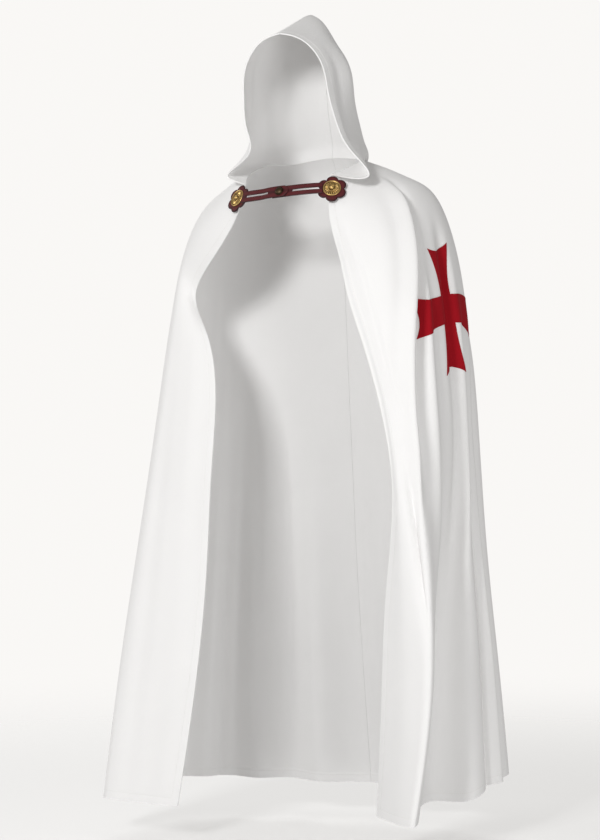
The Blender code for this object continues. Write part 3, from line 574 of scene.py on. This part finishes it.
def cloth_panel(node, surface, places, levels):
    """A cloth wall on a surface, mitred and parted by half a gap at the centre, crown and neck seams.

    Inside, a turned-in hem adds its own thickness; outside, its row of stitches draws a shallow ditch.
    Gives the piece and what its stitches need: both faces, the normals and the distances to its edges."""
    across, level = (grid.ravel() for grid in np.meshgrid(places, levels, indexing="ij"))
    shape = (len(places), len(levels))
    half = 1.0 if np.mean(places) > 0.0 else -1.0
    points = surface(across, level)
    out = normals(surface, across, level)
    along, down = cloth_lengths(points.reshape(*shape, 3))
    from_edges = [np.abs(along - along[-1 if half > 0.0 else 0])]
    if surface is cloak:
        from_edges.append(down[:, -1:] - down)
    band, ditch = turned_edge(from_edges)

    neck = np.isclose(level, 0.0)[:, None]
    mitre, apart = neck_mitre(across)
    out = np.where(neck, mitre, out)
    points = points + np.where(neck, (0.5 if surface is cloak else -0.5) * SEAM_GAP, 0.0) * apart
    seam = np.isclose(across, 0.0)
    if surface is hood:
        seam |= np.isclose(level, 1.0)
    out[seam, 0] = 0.0
    lost = seam & (np.linalg.norm(out, axis=1) < SEAM_LOST)
    out[lost] = points[lost] - HOOD_MIDDLE
    out[seam, 0] = 0.0
    out = unit(out)
    points[seam, 0] = half * 0.5 * SEAM_GAP

    rise = 0.5 * TWILL_THICK - STITCH_DITCH * ditch.ravel()
    sink = 0.5 * TWILL_THICK + HEM_EXTRA * band.ravel() - STITCH_DITCH * ditch.ravel()
    outer = (points + rise[:, None] * out).reshape(*shape, 3)
    inner = (points - sink[:, None] * out).reshape(*shape, 3)
    grids = (inner, outer) if surface is hood else (outer, inner)
    kept = np.ones((shape[0] - 1, shape[1] - 1), dtype=bool)
    piece = wall(node + "_cloth", *grids, kept, np.stack([along, down], axis=2), WHITE_TWILL, {"hem": ditch})
    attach(piece, "root")
    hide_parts(node)
    return piece, (outer, inner, out.reshape(*shape, 3), from_edges)


def crossing(values, distance, target):
    """Values of a grid where a distance, falling along its second direction, passes a target."""
    index = np.maximum(np.argmax(distance <= target, axis=1), 1)
    row = np.arange(len(index))
    before, after = distance[row, index - 1], distance[row, index]
    share = ((before - target) / (before - after))[:, None]
    return values[row, index - 1] * (1.0 - share) + values[row, index] * share


def stitch_row(path, out):
    """Threads of a row of stitches along a path: each is a tube whose middle line leaves the cloth,
    rises by a half sine and dips in again, and whose radius is smaller at its ends."""
    run = run_along(path)
    starts = np.arange(0.5 * STITCH_PITCH, run[-1] - STITCH_LONG, STITCH_PITCH)
    share = np.linspace(0.0, 1.0, STITCH_RINGS)
    at = starts[:, None] + share * STITCH_LONG
    middle = np.stack([np.interp(at, run, path[:, axis]) for axis in range(3)], axis=-1)
    rise = np.stack([np.interp(at, run, out[:, axis]) for axis in range(3)], axis=-1)
    rise = unit(rise)
    side = unit(np.cross(np.gradient(middle, axis=1), rise))
    bow = np.sin(math.pi * share)
    radius = (0.5 * STITCH_THICK * (0.5 + 0.5 * bow))[None, :, None, None]
    angle = np.linspace(0.0, 2.0 * math.pi, STITCH_SIDES, endpoint=False)[None, None, :, None]
    lift = (STITCH_THICK * (STITCH_BOW * bow - STITCH_SINK))[None, :, None, None]
    ring = middle[:, :, None] + rise[:, :, None] * (lift + radius * np.sin(angle))
    return ring + side[:, :, None] * radius * np.cos(angle)


def sew(name, rows, finish):
    """One piece of many threads: quads round each tube between its rings, and a closed face at each end."""
    rings = np.concatenate(rows)
    number = np.arange(rings.size // 3).reshape(rings.shape[:3])
    after = np.roll(number, -1, axis=2)
    tubes = np.stack([number[:, :-1], after[:, :-1], after[:, 1:], number[:, 1:]], axis=-1).reshape(-1, 4)
    caps = np.concatenate([number[:, 0, ::-1], number[:, -1]])
    piece = put_mesh(name, rings.reshape(-1, 3), tubes[:, ::-1].tolist() + caps[:, ::-1].tolist(), finish)
    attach(piece, "root")
    return piece


def hem_rows(panel, half):
    """Rows of stitches on both faces of a panel, along its front edge and, on the cloak, its hem."""
    outer, inner, out, from_edges = panel
    rows = []
    for face, sign in ((outer, 1.0), (inner, -1.0)):
        step = 1 if half > 0.0 else -1
        across = [grid.swapaxes(0, 1)[:, ::step] for grid in (face, out, from_edges[0])]
        path, rise = crossing(across[0], across[2], HEM_STITCH), crossing(across[1], across[2], HEM_STITCH)
        if len(from_edges) > 1:
            above = crossing(from_edges[1].swapaxes(0, 1)[:, ::step][..., None], across[2], HEM_STITCH)[:, 0]
            path, rise = path[above > HEM_STITCH], rise[above > HEM_STITCH]
        rows.append(stitch_row(path, sign * rise))
        if len(from_edges) > 1:
            path = crossing(face, from_edges[1], HEM_STITCH)
            rise = crossing(out, from_edges[1], HEM_STITCH)
            inside = crossing(from_edges[0][..., None], from_edges[1], HEM_STITCH)[:, 0] > HEM_STITCH
            path, rise = path[inside], rise[inside]
            rows.append(stitch_row(path, sign * rise))
    return rows


fall_levels = two_paces(FALL_BREAK, FALL_STEPS)
cloak_places = two_paces(ACROSS_BREAK, ACROSS_STEPS)
hood_places = two_paces(HOOD_BREAK, HOOD_STEPS)
hood_levels = np.linspace(0.0, 1.0, HOOD_RISE_STEPS)
panel_rows = []
for side_name, half in (("left", 1.0), ("right", -1.0)):
    order = 1 if half > 0.0 else -1
    piece, panel = cloth_panel("cloak_" + side_name, cloak, half * cloak_places[::order], fall_levels)
    panel_rows += hem_rows(panel, half)
    piece, panel = cloth_panel("hood_" + side_name, hood, half * hood_places[::order], hood_levels)
    panel_rows += hem_rows(panel, half)
sew("hem_stitches", panel_rows, WHITE_THREAD)


# Cross: a flared red cross cut from one piece of cloth and sewn flat on the wearer's left upper arm,
# with a row of red stitches just inside its edge. It lies on the cloak's own folds.
CROSS_REACH = 0.135
CROSS_ROOT = 0.030
CROSS_TIP = 0.044
CROSS_HOLLOW = 0.013
CROSS_FLARE = 2.1
CROSS_ACROSS = 0.634
CROSS_LEVEL = 0.303
CROSS_LEVEL_SLOPE = 0.22
CROSS_LIFT = 0.2 * MM
CROSS_CLOTH = 0.9 * MM
CROSS_PATCH = (0.33, 0.16)
CROSS_GRID = (241, 161)
CROSS_STEPS = (56, 25)
CROSS_SEEK = 12
CROSS_STITCH = 3.2 * MM
RED_CLOTH = cloth_material("red_cloth", (0.40, 0.004, 0.012), (0.27, 0.003, 0.008), 1100.0, 0.85, 0.0)
RED_THREAD = thread_material("red_thread", (0.42, 0.008, 0.018), (0.24, 0.004, 0.010))


def cross_arm(share, side, inset=0.0):
    """Flat points of one arm: its half width grows from root to tip by a power of the share of its
    reach, and its end is hollowed by a parabola. `inset` moves the outline in."""
    half = CROSS_ROOT + (CROSS_TIP - CROSS_ROOT) * share**CROSS_FLARE - inset
    reach = CROSS_REACH - inset - CROSS_HOLLOW * (1.0 - side**2) * share**2
    root = CROSS_ROOT - inset
    return np.stack([root + (reach - root) * share, half * side], axis=-1)


def quarter_turns(flat):
    """The four quarter turns of flat points."""
    turned = [flat]
    for _ in range(3):
        turned.append(np.stack([-turned[-1][..., 1], turned[-1][..., 0]], axis=-1))
    return turned


def grid_read(grid, column, row):
    """Values of a grid between its points, by straight lines both ways."""
    column = np.clip(column, 0.0, grid.shape[0] - 1.001)
    row = np.clip(row, 0.0, grid.shape[1] - 1.001)
    low_column, low_row = column.astype(int), row.astype(int)
    right, down = column - low_column, row - low_row
    upper = grid[low_column, low_row] * (1.0 - right) + grid[low_column + 1, low_row] * right
    lower = grid[low_column, low_row + 1] * (1.0 - right) + grid[low_column + 1, low_row + 1] * right
    return upper * (1.0 - down) + lower * down


def on_arm(flat):
    """Place across and level on the cloak of flat cross points, measured along the cloth.

    The cross stands level with the floor, and the cloth's own levels fall towards the front by a slope.
    Across is found by stepping until the length along the cloth is the wanted one."""
    places = np.linspace(CROSS_ACROSS - CROSS_PATCH[0], CROSS_ACROSS + CROSS_PATCH[0], CROSS_GRID[0])
    levels = np.linspace(CROSS_LEVEL - CROSS_PATCH[1], CROSS_LEVEL + CROSS_PATCH[1], CROSS_GRID[1])
    across, level = (grid.ravel() for grid in np.meshgrid(places, levels, indexing="ij"))
    along, down = cloth_lengths(cloak(across, level).reshape(*CROSS_GRID, 3))
    middle, centre = CROSS_GRID[0] // 2, CROSS_GRID[1] // 2
    along = along - along[middle]
    down = down[middle] - down[middle, centre]
    wanted = -flat[:, 0] * math.hypot(1.0, CROSS_LEVEL_SLOPE)
    level = np.interp(CROSS_LEVEL_SLOPE * flat[:, 0] - flat[:, 1], down, levels)
    row = (level - levels[0]) / (levels[1] - levels[0])
    column = np.full(len(flat), float(middle))
    for _ in range(CROSS_SEEK):
        rate = 0.5 * (grid_read(along, column + 1.0, row) - grid_read(along, column - 1.0, row))
        column = column + (wanted - grid_read(along, column, row)) / np.maximum(rate, 1e-5)
        column = np.clip(column, 1.0, CROSS_GRID[0] - 2.0)
    return places[0] + column * (places[1] - places[0]), level


share, side = np.meshgrid(np.linspace(0.0, 1.0, CROSS_STEPS[0]), np.linspace(-1.0, 1.0, CROSS_STEPS[1]),
                          indexing="ij")
square = np.linspace(-CROSS_ROOT, CROSS_ROOT, CROSS_STEPS[1])
patches = quarter_turns(cross_arm(share, side))
patches.append(np.stack(np.meshgrid(square, square, indexing="ij"), axis=-1))
patch_points, patch_cells = [], []
for patch in patches:
    cells = grid_cells(*patch.shape[:2]) + sum(map(len, patch_points))
    patch_cells.append(cells.reshape(-1, 4))
    patch_points.append(patch.reshape(-1, 2))
flat, merged = np.unique(np.round(np.concatenate(patch_points), 7), axis=0, return_inverse=True)
cross_cells = merged.ravel()[np.concatenate(patch_cells)]
across, level = on_arm(flat)
cross_out = normals(cloak, across, level)
cross_low = cloak(across, level) + (0.5 * TWILL_THICK + CROSS_LIFT) * cross_out
cross = skin("cross_cloth", cross_cells, cross_low + CROSS_CLOTH * cross_out, cross_low, flat, RED_CLOTH)
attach(cross, "root")
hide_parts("cross")

line = np.linspace(0.0, 1.0, CROSS_STEPS[0])
end = np.linspace(-1.0, 1.0, CROSS_STEPS[1])
arm_line = np.concatenate([cross_arm(line, -np.ones_like(line), CROSS_STITCH),
                           cross_arm(np.ones_like(end), end, CROSS_STITCH)[1:-1],
                           cross_arm(line, np.ones_like(line), CROSS_STITCH)[::-1]])
across, level = on_arm(np.concatenate(quarter_turns(arm_line)))
line_out = normals(cloak, across, level)
line_path = cloak(across, level) + (0.5 * TWILL_THICK + CROSS_LIFT + CROSS_CLOTH) * line_out
sew("cross_stitches", [stitch_row(line_path, line_out)], RED_THREAD)


# Rosettes: two scalloped discs of burgundy leather, cut like flowers of six petals and sewn to the
# cloak's two neck corners. They lie flat on the cloth, with a rounded, burnished edge.
CAD_CLOTH = 2.0 * MM
PIECE_GAP = 0.3 * MM
ROSETTE_RADIUS = 0.028
ROSETTE_SCALLOP = 0.0035
ROSETTE_PETALS = 6
ROSETTE_THICK = 3.0 * MM
ROSETTE_LEVEL = 0.027
ROSETTE_ACROSS = 0.975
ROSETTE_SINK = 0.4 * MM
ROSETTE_STEPS = 144
# Rosette section: share of the outline's reach, height as a share of the thickness.
ROSETTE_SECTION = [(0.30, 0.96), (0.55, 0.98), (0.78, 1.00), (0.85, 0.97), (0.88, 0.90), (0.91, 0.96),
                   (0.95, 0.94), (0.98, 0.80), (1.00, 0.55), (1.00, 0.30), (0.98, 0.08), (0.94, 0.0),
                   (0.5, 0.0)]
PETAL_POWER = 0.7
PETAL_SWELL = 0.5 * MM
# Where the cloth under a rosette is looked at: places across and levels, each first, last, count.
ROSETTE_NEAR = ((0.6, 1.0, 60), (0.0, 0.12, 60))
ROSETTE_BURNISH = (0.80, 1.0)
LEATHER_CLOUDS = 120.0
LEATHER_BUMP = (0.35, 0.3 * MM)


def rosette_frame(side):
    """Centre and axes (rows: along, up the cloth, out of it) of a rosette on one neck corner.

    The stiff disc rests on the highest of the cloth points under it, on their best-fitting plane."""
    centre = hung(np.array([side * ROSETTE_ACROSS]), np.array([ROSETTE_LEVEL]))[0]
    across, level = np.meshgrid(side * np.linspace(*ROSETTE_NEAR[0]), np.linspace(*ROSETTE_NEAR[1]))
    near = hung(across.ravel(), level.ravel())
    near = near[np.linalg.norm(near - centre, axis=1) < ROSETTE_RADIUS + 2.0 * ROSETTE_SCALLOP]
    out = np.linalg.svd(near - near.mean(axis=0))[2][2]
    out *= -np.sign(out[1])
    centre = centre + out * (np.max((near - centre) @ out) - ROSETTE_SINK)
    up = np.array([0.0, 0.0, 1.0]) - out[2] * out
    up /= np.linalg.norm(up)
    return centre, np.array([np.cross(up, out), up, out])


def spun(name, radius, height, seat, finish, marks=None):
    """A closed round solid from grids (rings, steps) of radius and height, top ring first, on a seat.

    Quads join the rings, and a fan of triangles closes the middle of the top and of the bottom."""
    centre, axes = seat
    rings, steps = radius.shape
    angle = np.linspace(0.0, 2.0 * math.pi, steps, endpoint=False)
    points = np.stack([radius * np.cos(angle), radius * np.sin(angle), height], axis=-1).reshape(-1, 3)
    poles = np.array([[0.0, 0.0, height[0].mean()], [0.0, 0.0, height[-1].mean()]])
    number = np.arange(rings * steps).reshape(rings, steps)
    after = np.roll(number, -1, axis=1)
    quads = np.stack([number[:-1], number[1:], after[1:], after[:-1]], axis=-1).reshape(-1, 4)
    top = np.stack([np.full(steps, rings * steps), number[0], after[0]], axis=1)
    bottom = np.stack([np.full(steps, rings * steps + 1), after[-1], number[-1]], axis=1)
    piece = put_mesh(name, np.concatenate([points, poles]) @ axes + centre,
                     quads.tolist() + top.tolist() + bottom.tolist(), finish)
    for mark, values in (marks or {}).items():
        put_mark(piece, mark, np.append(values.ravel(), [0.0, 0.0]))
    return piece


def grain_group():
    """Leather grain on Object coordinates: small pebbles from a cell texture, and a slow cloudy tint."""
    group, ins, outs = node_group("leather_grain", [("Cells per metre", 900.0)],
                                  [("Height", "NodeSocketFloat"), ("Tint", "NodeSocketFloat")])
    place = group.nodes.new("ShaderNodeTexCoord")
    cells = group.nodes.new("ShaderNodeTexVoronoi")
    group.links.new(place.outputs["Object"], cells.inputs["Vector"])
    group.links.new(ins.outputs["Cells per metre"], cells.inputs["Scale"])
    group.links.new(maths(group, "SUBTRACT", 1.0, cells.outputs["Distance"]), outs.inputs["Height"])
    group.links.new(noise(group, place.outputs["Object"], LEATHER_CLOUDS), outs.inputs["Tint"])
    return group


LEATHER_GRAIN = grain_group()


def leather_material(name, light, dark, worn):
    """Dyed leather: two tints by the grain's cloudy tint, darker where the mark `worn` says burnished."""
    finish, tree, shader = new_finish(name)
    shader.inputs["Roughness"].default_value = 0.45
    shader.inputs["Specular IOR Level"].default_value = 0.3
    grain = tree.nodes.new("ShaderNodeGroup")
    grain.node_tree = LEATHER_GRAIN
    mark = tree.nodes.new("ShaderNodeAttribute")
    mark.attribute_name = "worn"
    tint = mixed(tree, grain.outputs["Tint"], dark, light)
    tree.links.new(mixed(tree, mark.outputs["Fac"], tint, worn), shader.inputs["Base Color"])
    bumped(tree, shader, grain.outputs["Height"], *LEATHER_BUMP)
    return finish


LEATHER = leather_material("burgundy_leather", (0.115, 0.015, 0.017), (0.060, 0.008, 0.010),
                           (0.026, 0.005, 0.006))
rosette_seats = {"left": rosette_frame(1.0), "right": rosette_frame(-1.0)}
angle = np.linspace(0.0, 2.0 * math.pi, ROSETTE_STEPS, endpoint=False)
petal = np.abs(np.sin(0.5 * ROSETTE_PETALS * angle)) ** PETAL_POWER
rosette_reach = ROSETTE_RADIUS - ROSETTE_SCALLOP + 2.0 * ROSETTE_SCALLOP * petal
section = np.array(ROSETTE_SECTION)
rosette_foot = 0.5 * CAD_CLOTH + PIECE_GAP
swell = PETAL_SWELL * np.outer(section[:, 0] * section[:, 1], petal - 1.0)
rosette_height = rosette_foot + ROSETTE_THICK * section[:, 1:] + swell
rosette_worn = np.outer(smooth(*ROSETTE_BURNISH, section[:, 0]), np.ones(ROSETTE_STEPS))
for side_name, seat in rosette_seats.items():
    piece = spun("rosette_" + side_name + "_leather", np.outer(section[:, 0], rosette_reach), rosette_height,
                 seat, LEATHER, {"worn": rosette_worn})
    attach(piece, "root")
    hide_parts("rosette_" + side_name)


# Bosses: stamped brass discs with a raised rim, a ring of radial flutes and a domed middle, riveted
# through the rosettes. Their hollows are darker from old polish and from painted shade, and the flute crests
# carry a painted highlight.
BOSS_RADIUS = 0.019
BOSS_FLUTES = 20
BOSS_STEPS = 160
# Painted shading of the flutes: the dark share drops on their crests as a painted highlight and grows in
# their valleys as painted shade.
BOSS_FLUTE_PAINTED_LIGHT = 0.55
BRASS_SPOTS = 260.0
BRASS_SPOT_DULL = 0.45
BRASS_SPOT_ROUGH = 0.2
# Boss section: radius and height in millimetres, depth of the flutes, share of dark colour, which is old
# polish and painted shade.
BOSS_SECTION = [
    (0.8, 7.9, 0.0, 0.0), (2.4, 7.5, 0.0, 0.0), (3.9, 6.4, 0.0, 0.0), (4.8, 5.0, 0.0, 0.2),
    (5.3, 3.6, 0.0, 0.7), (5.7, 2.6, 0.0, 1.0), (6.2, 2.5, 0.0, 0.9), (6.8, 3.2, 0.0, 0.3),
    (7.4, 3.3, 0.1, 0.3), (8.0, 2.7, 0.4, 0.7), (9.5, 2.4, 0.8, 0.5), (11.5, 2.2, 1.0, 0.4),
    (13.5, 2.1, 0.8, 0.4), (14.8, 2.0, 0.3, 0.8), (15.5, 2.0, 0.0, 1.0), (16.2, 2.5, 0.0, 0.5),
    (17.2, 3.0, 0.0, 0.0), (18.2, 2.7, 0.0, 0.0), (18.8, 2.0, 0.0, 0.1), (19.0, 1.0, 0.0, 0.4),
    (18.9, 0.1, 0.0, 0.8), (18.0, 0.0, 0.0, 1.0), (9.0, 0.0, 0.0, 1.0),
]


def brass_material(name, bright, dull, roughness):
    """Brass: bright metal, dull where the mark `worn` says, which marks old polish and painted shade, and
    unevenly rubbed.
    """
    finish, tree, shader = new_finish(name)
    shader.inputs["Metallic"].default_value = 1.0
    mark = tree.nodes.new("ShaderNodeAttribute")
    mark.attribute_name = "worn"
    place = tree.nodes.new("ShaderNodeTexCoord")
    spots = noise(tree, place.outputs["Object"], BRASS_SPOTS)
    share = maths(tree, "MULTIPLY", mark.outputs["Fac"], maths(tree, "ADD", spots, BRASS_SPOT_DULL))
    tree.links.new(mixed(tree, share, bright, dull), shader.inputs["Base Color"])
    rough = maths(tree, "ADD", maths(tree, "MULTIPLY", spots, BRASS_SPOT_ROUGH), roughness)
    tree.links.new(rough, shader.inputs["Roughness"])
    return finish


BRASS = brass_material("brass", (0.66, 0.45, 0.17), (0.08, 0.04, 0.014), 0.24)
section = np.array(BOSS_SECTION)
angle = np.linspace(0.0, 2.0 * math.pi, BOSS_STEPS, endpoint=False)
flute = np.cos(BOSS_FLUTES * angle)
boss_foot = 0.5 * CAD_CLOTH + 2.0 * PIECE_GAP + ROSETTE_THICK
boss_height = boss_foot + MM * (section[:, 1:2] + section[:, 2:3] * flute)
boss_radius = np.outer(section[:, 0] * MM, np.ones(BOSS_STEPS))
# Dark share of the boss: old polish and painted shade from the section, with the flutes' painted shading.
boss_polish_and_shade = np.clip(section[:, 3:4] - BOSS_FLUTE_PAINTED_LIGHT * (section[:, 2:3] > 0.0) * flute, 0.0, 1.0)
for side_name, seat in rosette_seats.items():
    piece = spun("boss_" + side_name + "_brass", boss_radius, boss_height, seat, BRASS, {"worn": boss_polish_and_shade})
    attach(piece, "root")
    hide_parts("boss_" + side_name)


# Straps: two slotted straps of the same leather, riveted under the bosses. The wearer's right one lies
# over the left one below the chin, with a pointed end, and the stud goes through both slots.
STRAP_HALF_WIDTH = 0.013
STRAP_THICK = 2.4 * MM
STRAP_EASE = 0.5 * MM
STRAP_PULL = 0.045
STRAP_SHARES = {"right": (0.0, 0.60), "left": (0.44, 1.0)}
STRAP_SLOTS = {"right": (0.086, 0.386), "left": (0.64, 0.96)}
STRAP_OVERLAP = (0.30, 0.42)
STRAP_STEPS = 85
STRAP_TIP = 0.045
STRAP_TIP_NARROW = 0.70
STRAP_TIP_POWER = 1.4
STRAP_EDGE = 0.6 * MM
STRAP_ROUND = (0.9 * STRAP_HALF_WIDTH, STRAP_HALF_WIDTH)
STRAP_EDGE_WORN = (0.8 * STRAP_HALF_WIDTH, STRAP_HALF_WIDTH)
STRAP_SLOT_WORN = (4.6 * MM, 2.6 * MM)
STRAP_SLOT_BURNISH = 0.6
# Groove along each edge: place and half width across the strap, depth.
STRAP_GROOVE = (10.6 * MM, 0.5 * MM)
STRAP_GROOVE_DEEP = 0.35 * MM
STRAP_SIDE = np.array([2.6, 3.4, 4.6, 7.5, 10.6, 12.0, 13.0]) * MM
STRAP_ACROSS = np.concatenate([-STRAP_SIDE[::-1], STRAP_SIDE])


def strap_line(share):
    """Middle line of the straps from the right rosette (0) to the left one (1): a cubic curve that
    leaves each rosette along its face, with the straps' up direction turning evenly between them."""
    rise = 0.5 * CAD_CLOTH + 2.0 * PIECE_GAP + ROSETTE_THICK + 0.5 * STRAP_THICK + STRAP_EASE
    reach = BOSS_RADIUS + 2.0 * PIECE_GAP
    (left, left_axes), (right, right_axes) = rosette_seats["left"], rosette_seats["right"]
    start, start_pull = (right + np.array([at, 0.0, rise]) @ right_axes for at in (reach, reach + STRAP_PULL))
    end, end_pull = (left + np.array([-at, 0.0, rise]) @ left_axes for at in (reach, reach + STRAP_PULL))
    t = share[:, None]
    line = (1 - t) ** 3 * start + 3 * (1 - t) ** 2 * t * start_pull
    line += 3 * (1 - t) * t**2 * end_pull + t**3 * end
    up = (1 - t) * right_axes[1] + t * left_axes[1]
    return line, unit(up)


overlap_lift = STRAP_THICK + PIECE_GAP
for side_name, (first, last) in STRAP_SHARES.items():
    shares = np.linspace(first, last, STRAP_STEPS)
    line, up = strap_line(shares)
    along = unit(np.gradient(line, axis=0))
    out = unit(np.cross(along, up))
    narrow = np.ones(STRAP_STEPS)
    if side_name == "right":
        line = line + out * (overlap_lift * smooth(*STRAP_OVERLAP, shares))[:, None]
        tip = np.clip((shares - last + STRAP_TIP) / STRAP_TIP, 0.0, 1.0)
        narrow -= STRAP_TIP_NARROW * tip**STRAP_TIP_POWER
    grid = line[:, None] + (STRAP_ACROSS * narrow[:, None])[..., None] * up[:, None]
    off_middle = np.abs(STRAP_ACROSS)
    crown = 0.5 * STRAP_THICK - STRAP_EDGE * smooth(*STRAP_ROUND, off_middle)
    groove = STRAP_GROOVE_DEEP * bell(off_middle, *STRAP_GROOVE)
    outer = grid + (crown - groove)[None, :, None] * out[:, None]
    inner = grid - crown[None, :, None] * out[:, None]
    low, high = STRAP_SLOTS[side_name]
    middle = 0.5 * (shares[1:] + shares[:-1])
    kept = np.ones((STRAP_STEPS - 1, len(STRAP_ACROSS) - 1), dtype=bool)
    kept[(middle > low) & (middle < high), len(STRAP_ACROSS) // 2 - 1] = False
    uv = np.stack(np.broadcast_arrays(run_along(line)[:, None], STRAP_ACROSS[None, :]), axis=-1)
    slot_worn = smooth(*STRAP_SLOT_WORN, off_middle) * STRAP_SLOT_BURNISH
    worn = np.maximum(smooth(*STRAP_EDGE_WORN, off_middle), slot_worn)
    worn = np.broadcast_to(worn, outer.shape[:2])
    piece = wall("strap_" + side_name + "_leather", outer, inner, kept, uv, LEATHER, {"worn": worn})
    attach(piece, "root")
    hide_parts("strap_" + side_name)


# Stud: a small domed stud of darkened brass that fastens the two straps through their slots.
STUD_RADIUS = 0.0095
STUD_HEIGHT = 5.0 * MM
STUD_SHARE = 0.51
STUD_STEPS = 64
STUD_NEAR = 0.01
# Stud section: share of its radius, share of its height, share of dark colour, which is old polish and
# painted shade growing down the dome's flanks.
STUD_SECTION = [(0.12, 1.00, 0.0), (0.30, 0.97, 0.0), (0.50, 0.89, 0.1), (0.68, 0.76, 0.2), (0.82, 0.58, 0.5),
                (0.88, 0.44, 0.9), (0.92, 0.40, 0.8), (0.97, 0.40, 0.2), (1.00, 0.30, 0.2), (1.00, 0.10, 0.5),
                (0.97, 0.0, 0.9), (0.5, 0.0, 1.0)]
DARK_BRASS = brass_material("dark_brass", (0.075, 0.052, 0.030), (0.018, 0.013, 0.009), 0.34)
line, up = strap_line(STUD_SHARE + np.array([-STUD_NEAR, 0.0, STUD_NEAR]))
along = unit(line[2] - line[0])
out = np.cross(along, up[1])
stud_seat = (line[1] + out * (overlap_lift + 0.5 * STRAP_THICK + PIECE_GAP), np.array([along, up[1], out]))
section = np.array(STUD_SECTION)
stud_radius = np.outer(section[:, 0] * STUD_RADIUS, np.ones(STUD_STEPS))
stud_height = np.outer(section[:, 1] * STUD_HEIGHT, np.ones(STUD_STEPS))
# Dark share of the stud: old polish and painted shade, darker down the dome and in the crease at its foot.
stud_polish_and_shade = np.outer(section[:, 2], np.ones(STUD_STEPS))
piece = spun("stud_brass", stud_radius, stud_height, stud_seat, DARK_BRASS, {"worn": stud_polish_and_shade})
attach(piece, "root")
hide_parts("stud")


# Stage: a plain pale floor a little below the hem that fades into a pale backdrop, soft light from a
# lamp in front, weaker ones at both sides and behind, and the camera at the photograph's height and
# angle. The backdrop looks paler to the camera than it lights the cloth.
FLOOR_HEIGHT = -1.42
FLOOR_REACH = 9.0
FLOOR_FADE = (0.9, 3.4)
FLOOR_SHOW = 0.5
SKY_LIGHT = 0.36
BACKDROP_LIGHT = 0.95
CAMERA_TURN = math.radians(25.0)
CAMERA_FAR = 5.0
CAMERA_UP = -0.52
# In the photograph, in pixels: its height, its middle, the cloak's axis, and a metre at the cloak.
PHOTO_TALL = 840.0
PHOTO_MIDDLE = 300.0
PHOTO_AXIS = 316.0
PHOTO_METRE = 465.0
CAMERA_SENSOR = 36.0
CAMERA_LENS = CAMERA_SENSOR * PHOTO_METRE * CAMERA_FAR / PHOTO_TALL
CAMERA_SHIFT = (PHOTO_MIDDLE - PHOTO_AXIS) / PHOTO_TALL
# Lamps: name, place, what it looks at, side of its square, power in watts.
LAMPS = [("key", (0.0, -4.6, 1.2), (0.0, 0.0, -0.7), 0.9, 118.0),
         ("side", (-4.0, -1.6, 0.6), (0.0, 0.0, -0.5), 1.6, 31.0),
         ("fill", (3.0, -2.2, -1.1), (0.3, 0.0, -0.9), 1.2, 39.0),
         ("back", (-2.4, 3.6, 1.6), (0.0, 0.0, -0.5), 2.0, 70.0)]
corners = np.array([[-1.0, -1.0, 0.0], [1.0, -1.0, 0.0], [1.0, 1.0, 0.0], [-1.0, 1.0, 0.0]]) * FLOOR_REACH
pale_floor, tree, shader = new_finish("pale_floor")
shader.inputs["Base Color"].default_value = (0.93, 0.93, 0.93, 1.0)
shader.inputs["Roughness"].default_value = 0.9
place = tree.nodes.new("ShaderNodeTexCoord")
flat_place = tree.nodes.new("ShaderNodeVectorMath")
flat_place.operation = "MULTIPLY"
flat_place.inputs[1].default_value = (1.0, 1.0, 0.0)
far = tree.nodes.new("ShaderNodeVectorMath")
far.operation = "LENGTH"
fade = tree.nodes.new("ShaderNodeMapRange")
fade.interpolation_type = "SMOOTHSTEP"
fade.inputs["From Min"].default_value = FLOOR_FADE[1]
fade.inputs["From Max"].default_value = FLOOR_FADE[0]
fade.inputs["To Max"].default_value = FLOOR_SHOW
tree.links.new(place.outputs["Object"], flat_place.inputs[0])
tree.links.new(flat_place.outputs["Vector"], far.inputs[0])
tree.links.new(far.outputs["Value"], fade.inputs["Value"])
tree.links.new(fade.outputs["Result"], shader.inputs["Alpha"])
floor = put_mesh("floor", corners + np.array([0.0, 0.0, FLOOR_HEIGHT]), [(0, 1, 2, 3)], pale_floor)

sky = bpy.data.worlds.new("pale_sky")
bpy.context.scene.world = sky
sky.use_nodes = True
backdrop = sky.node_tree.nodes["Background"]
backdrop.inputs["Color"].default_value = (1.0, 0.985, 0.965, 1.0)
ray = sky.node_tree.nodes.new("ShaderNodeLightPath")
paler = maths(sky.node_tree, "MULTIPLY", ray.outputs["Is Camera Ray"], BACKDROP_LIGHT - SKY_LIGHT)
sky.node_tree.links.new(maths(sky.node_tree, "ADD", paler, SKY_LIGHT), backdrop.inputs["Strength"])
for name, place, target, size, power in LAMPS:
    lamp = bpy.data.objects.new(name, bpy.data.lights.new(name, "AREA"))
    lamp.data.size = size
    lamp.data.energy = power
    lamp.location = place
    lamp.rotation_euler = Vector(np.subtract(target, place)).to_track_quat("-Z", "Y").to_euler()
    bpy.context.scene.collection.objects.link(lamp)

camera = bpy.data.objects.new("camera", bpy.data.cameras.new("camera"))
camera.data.sensor_width = CAMERA_SENSOR
camera.data.lens = CAMERA_LENS
camera.data.shift_x = CAMERA_SHIFT
camera.location = (CAMERA_FAR * math.sin(CAMERA_TURN), -CAMERA_FAR * math.cos(CAMERA_TURN), CAMERA_UP)
camera.rotation_euler = (math.radians(90.0), 0.0, CAMERA_TURN)
bpy.context.scene.collection.objects.link(camera)
bpy.context.scene.camera = camera
bpy.context.scene.view_settings.view_transform = "Standard"
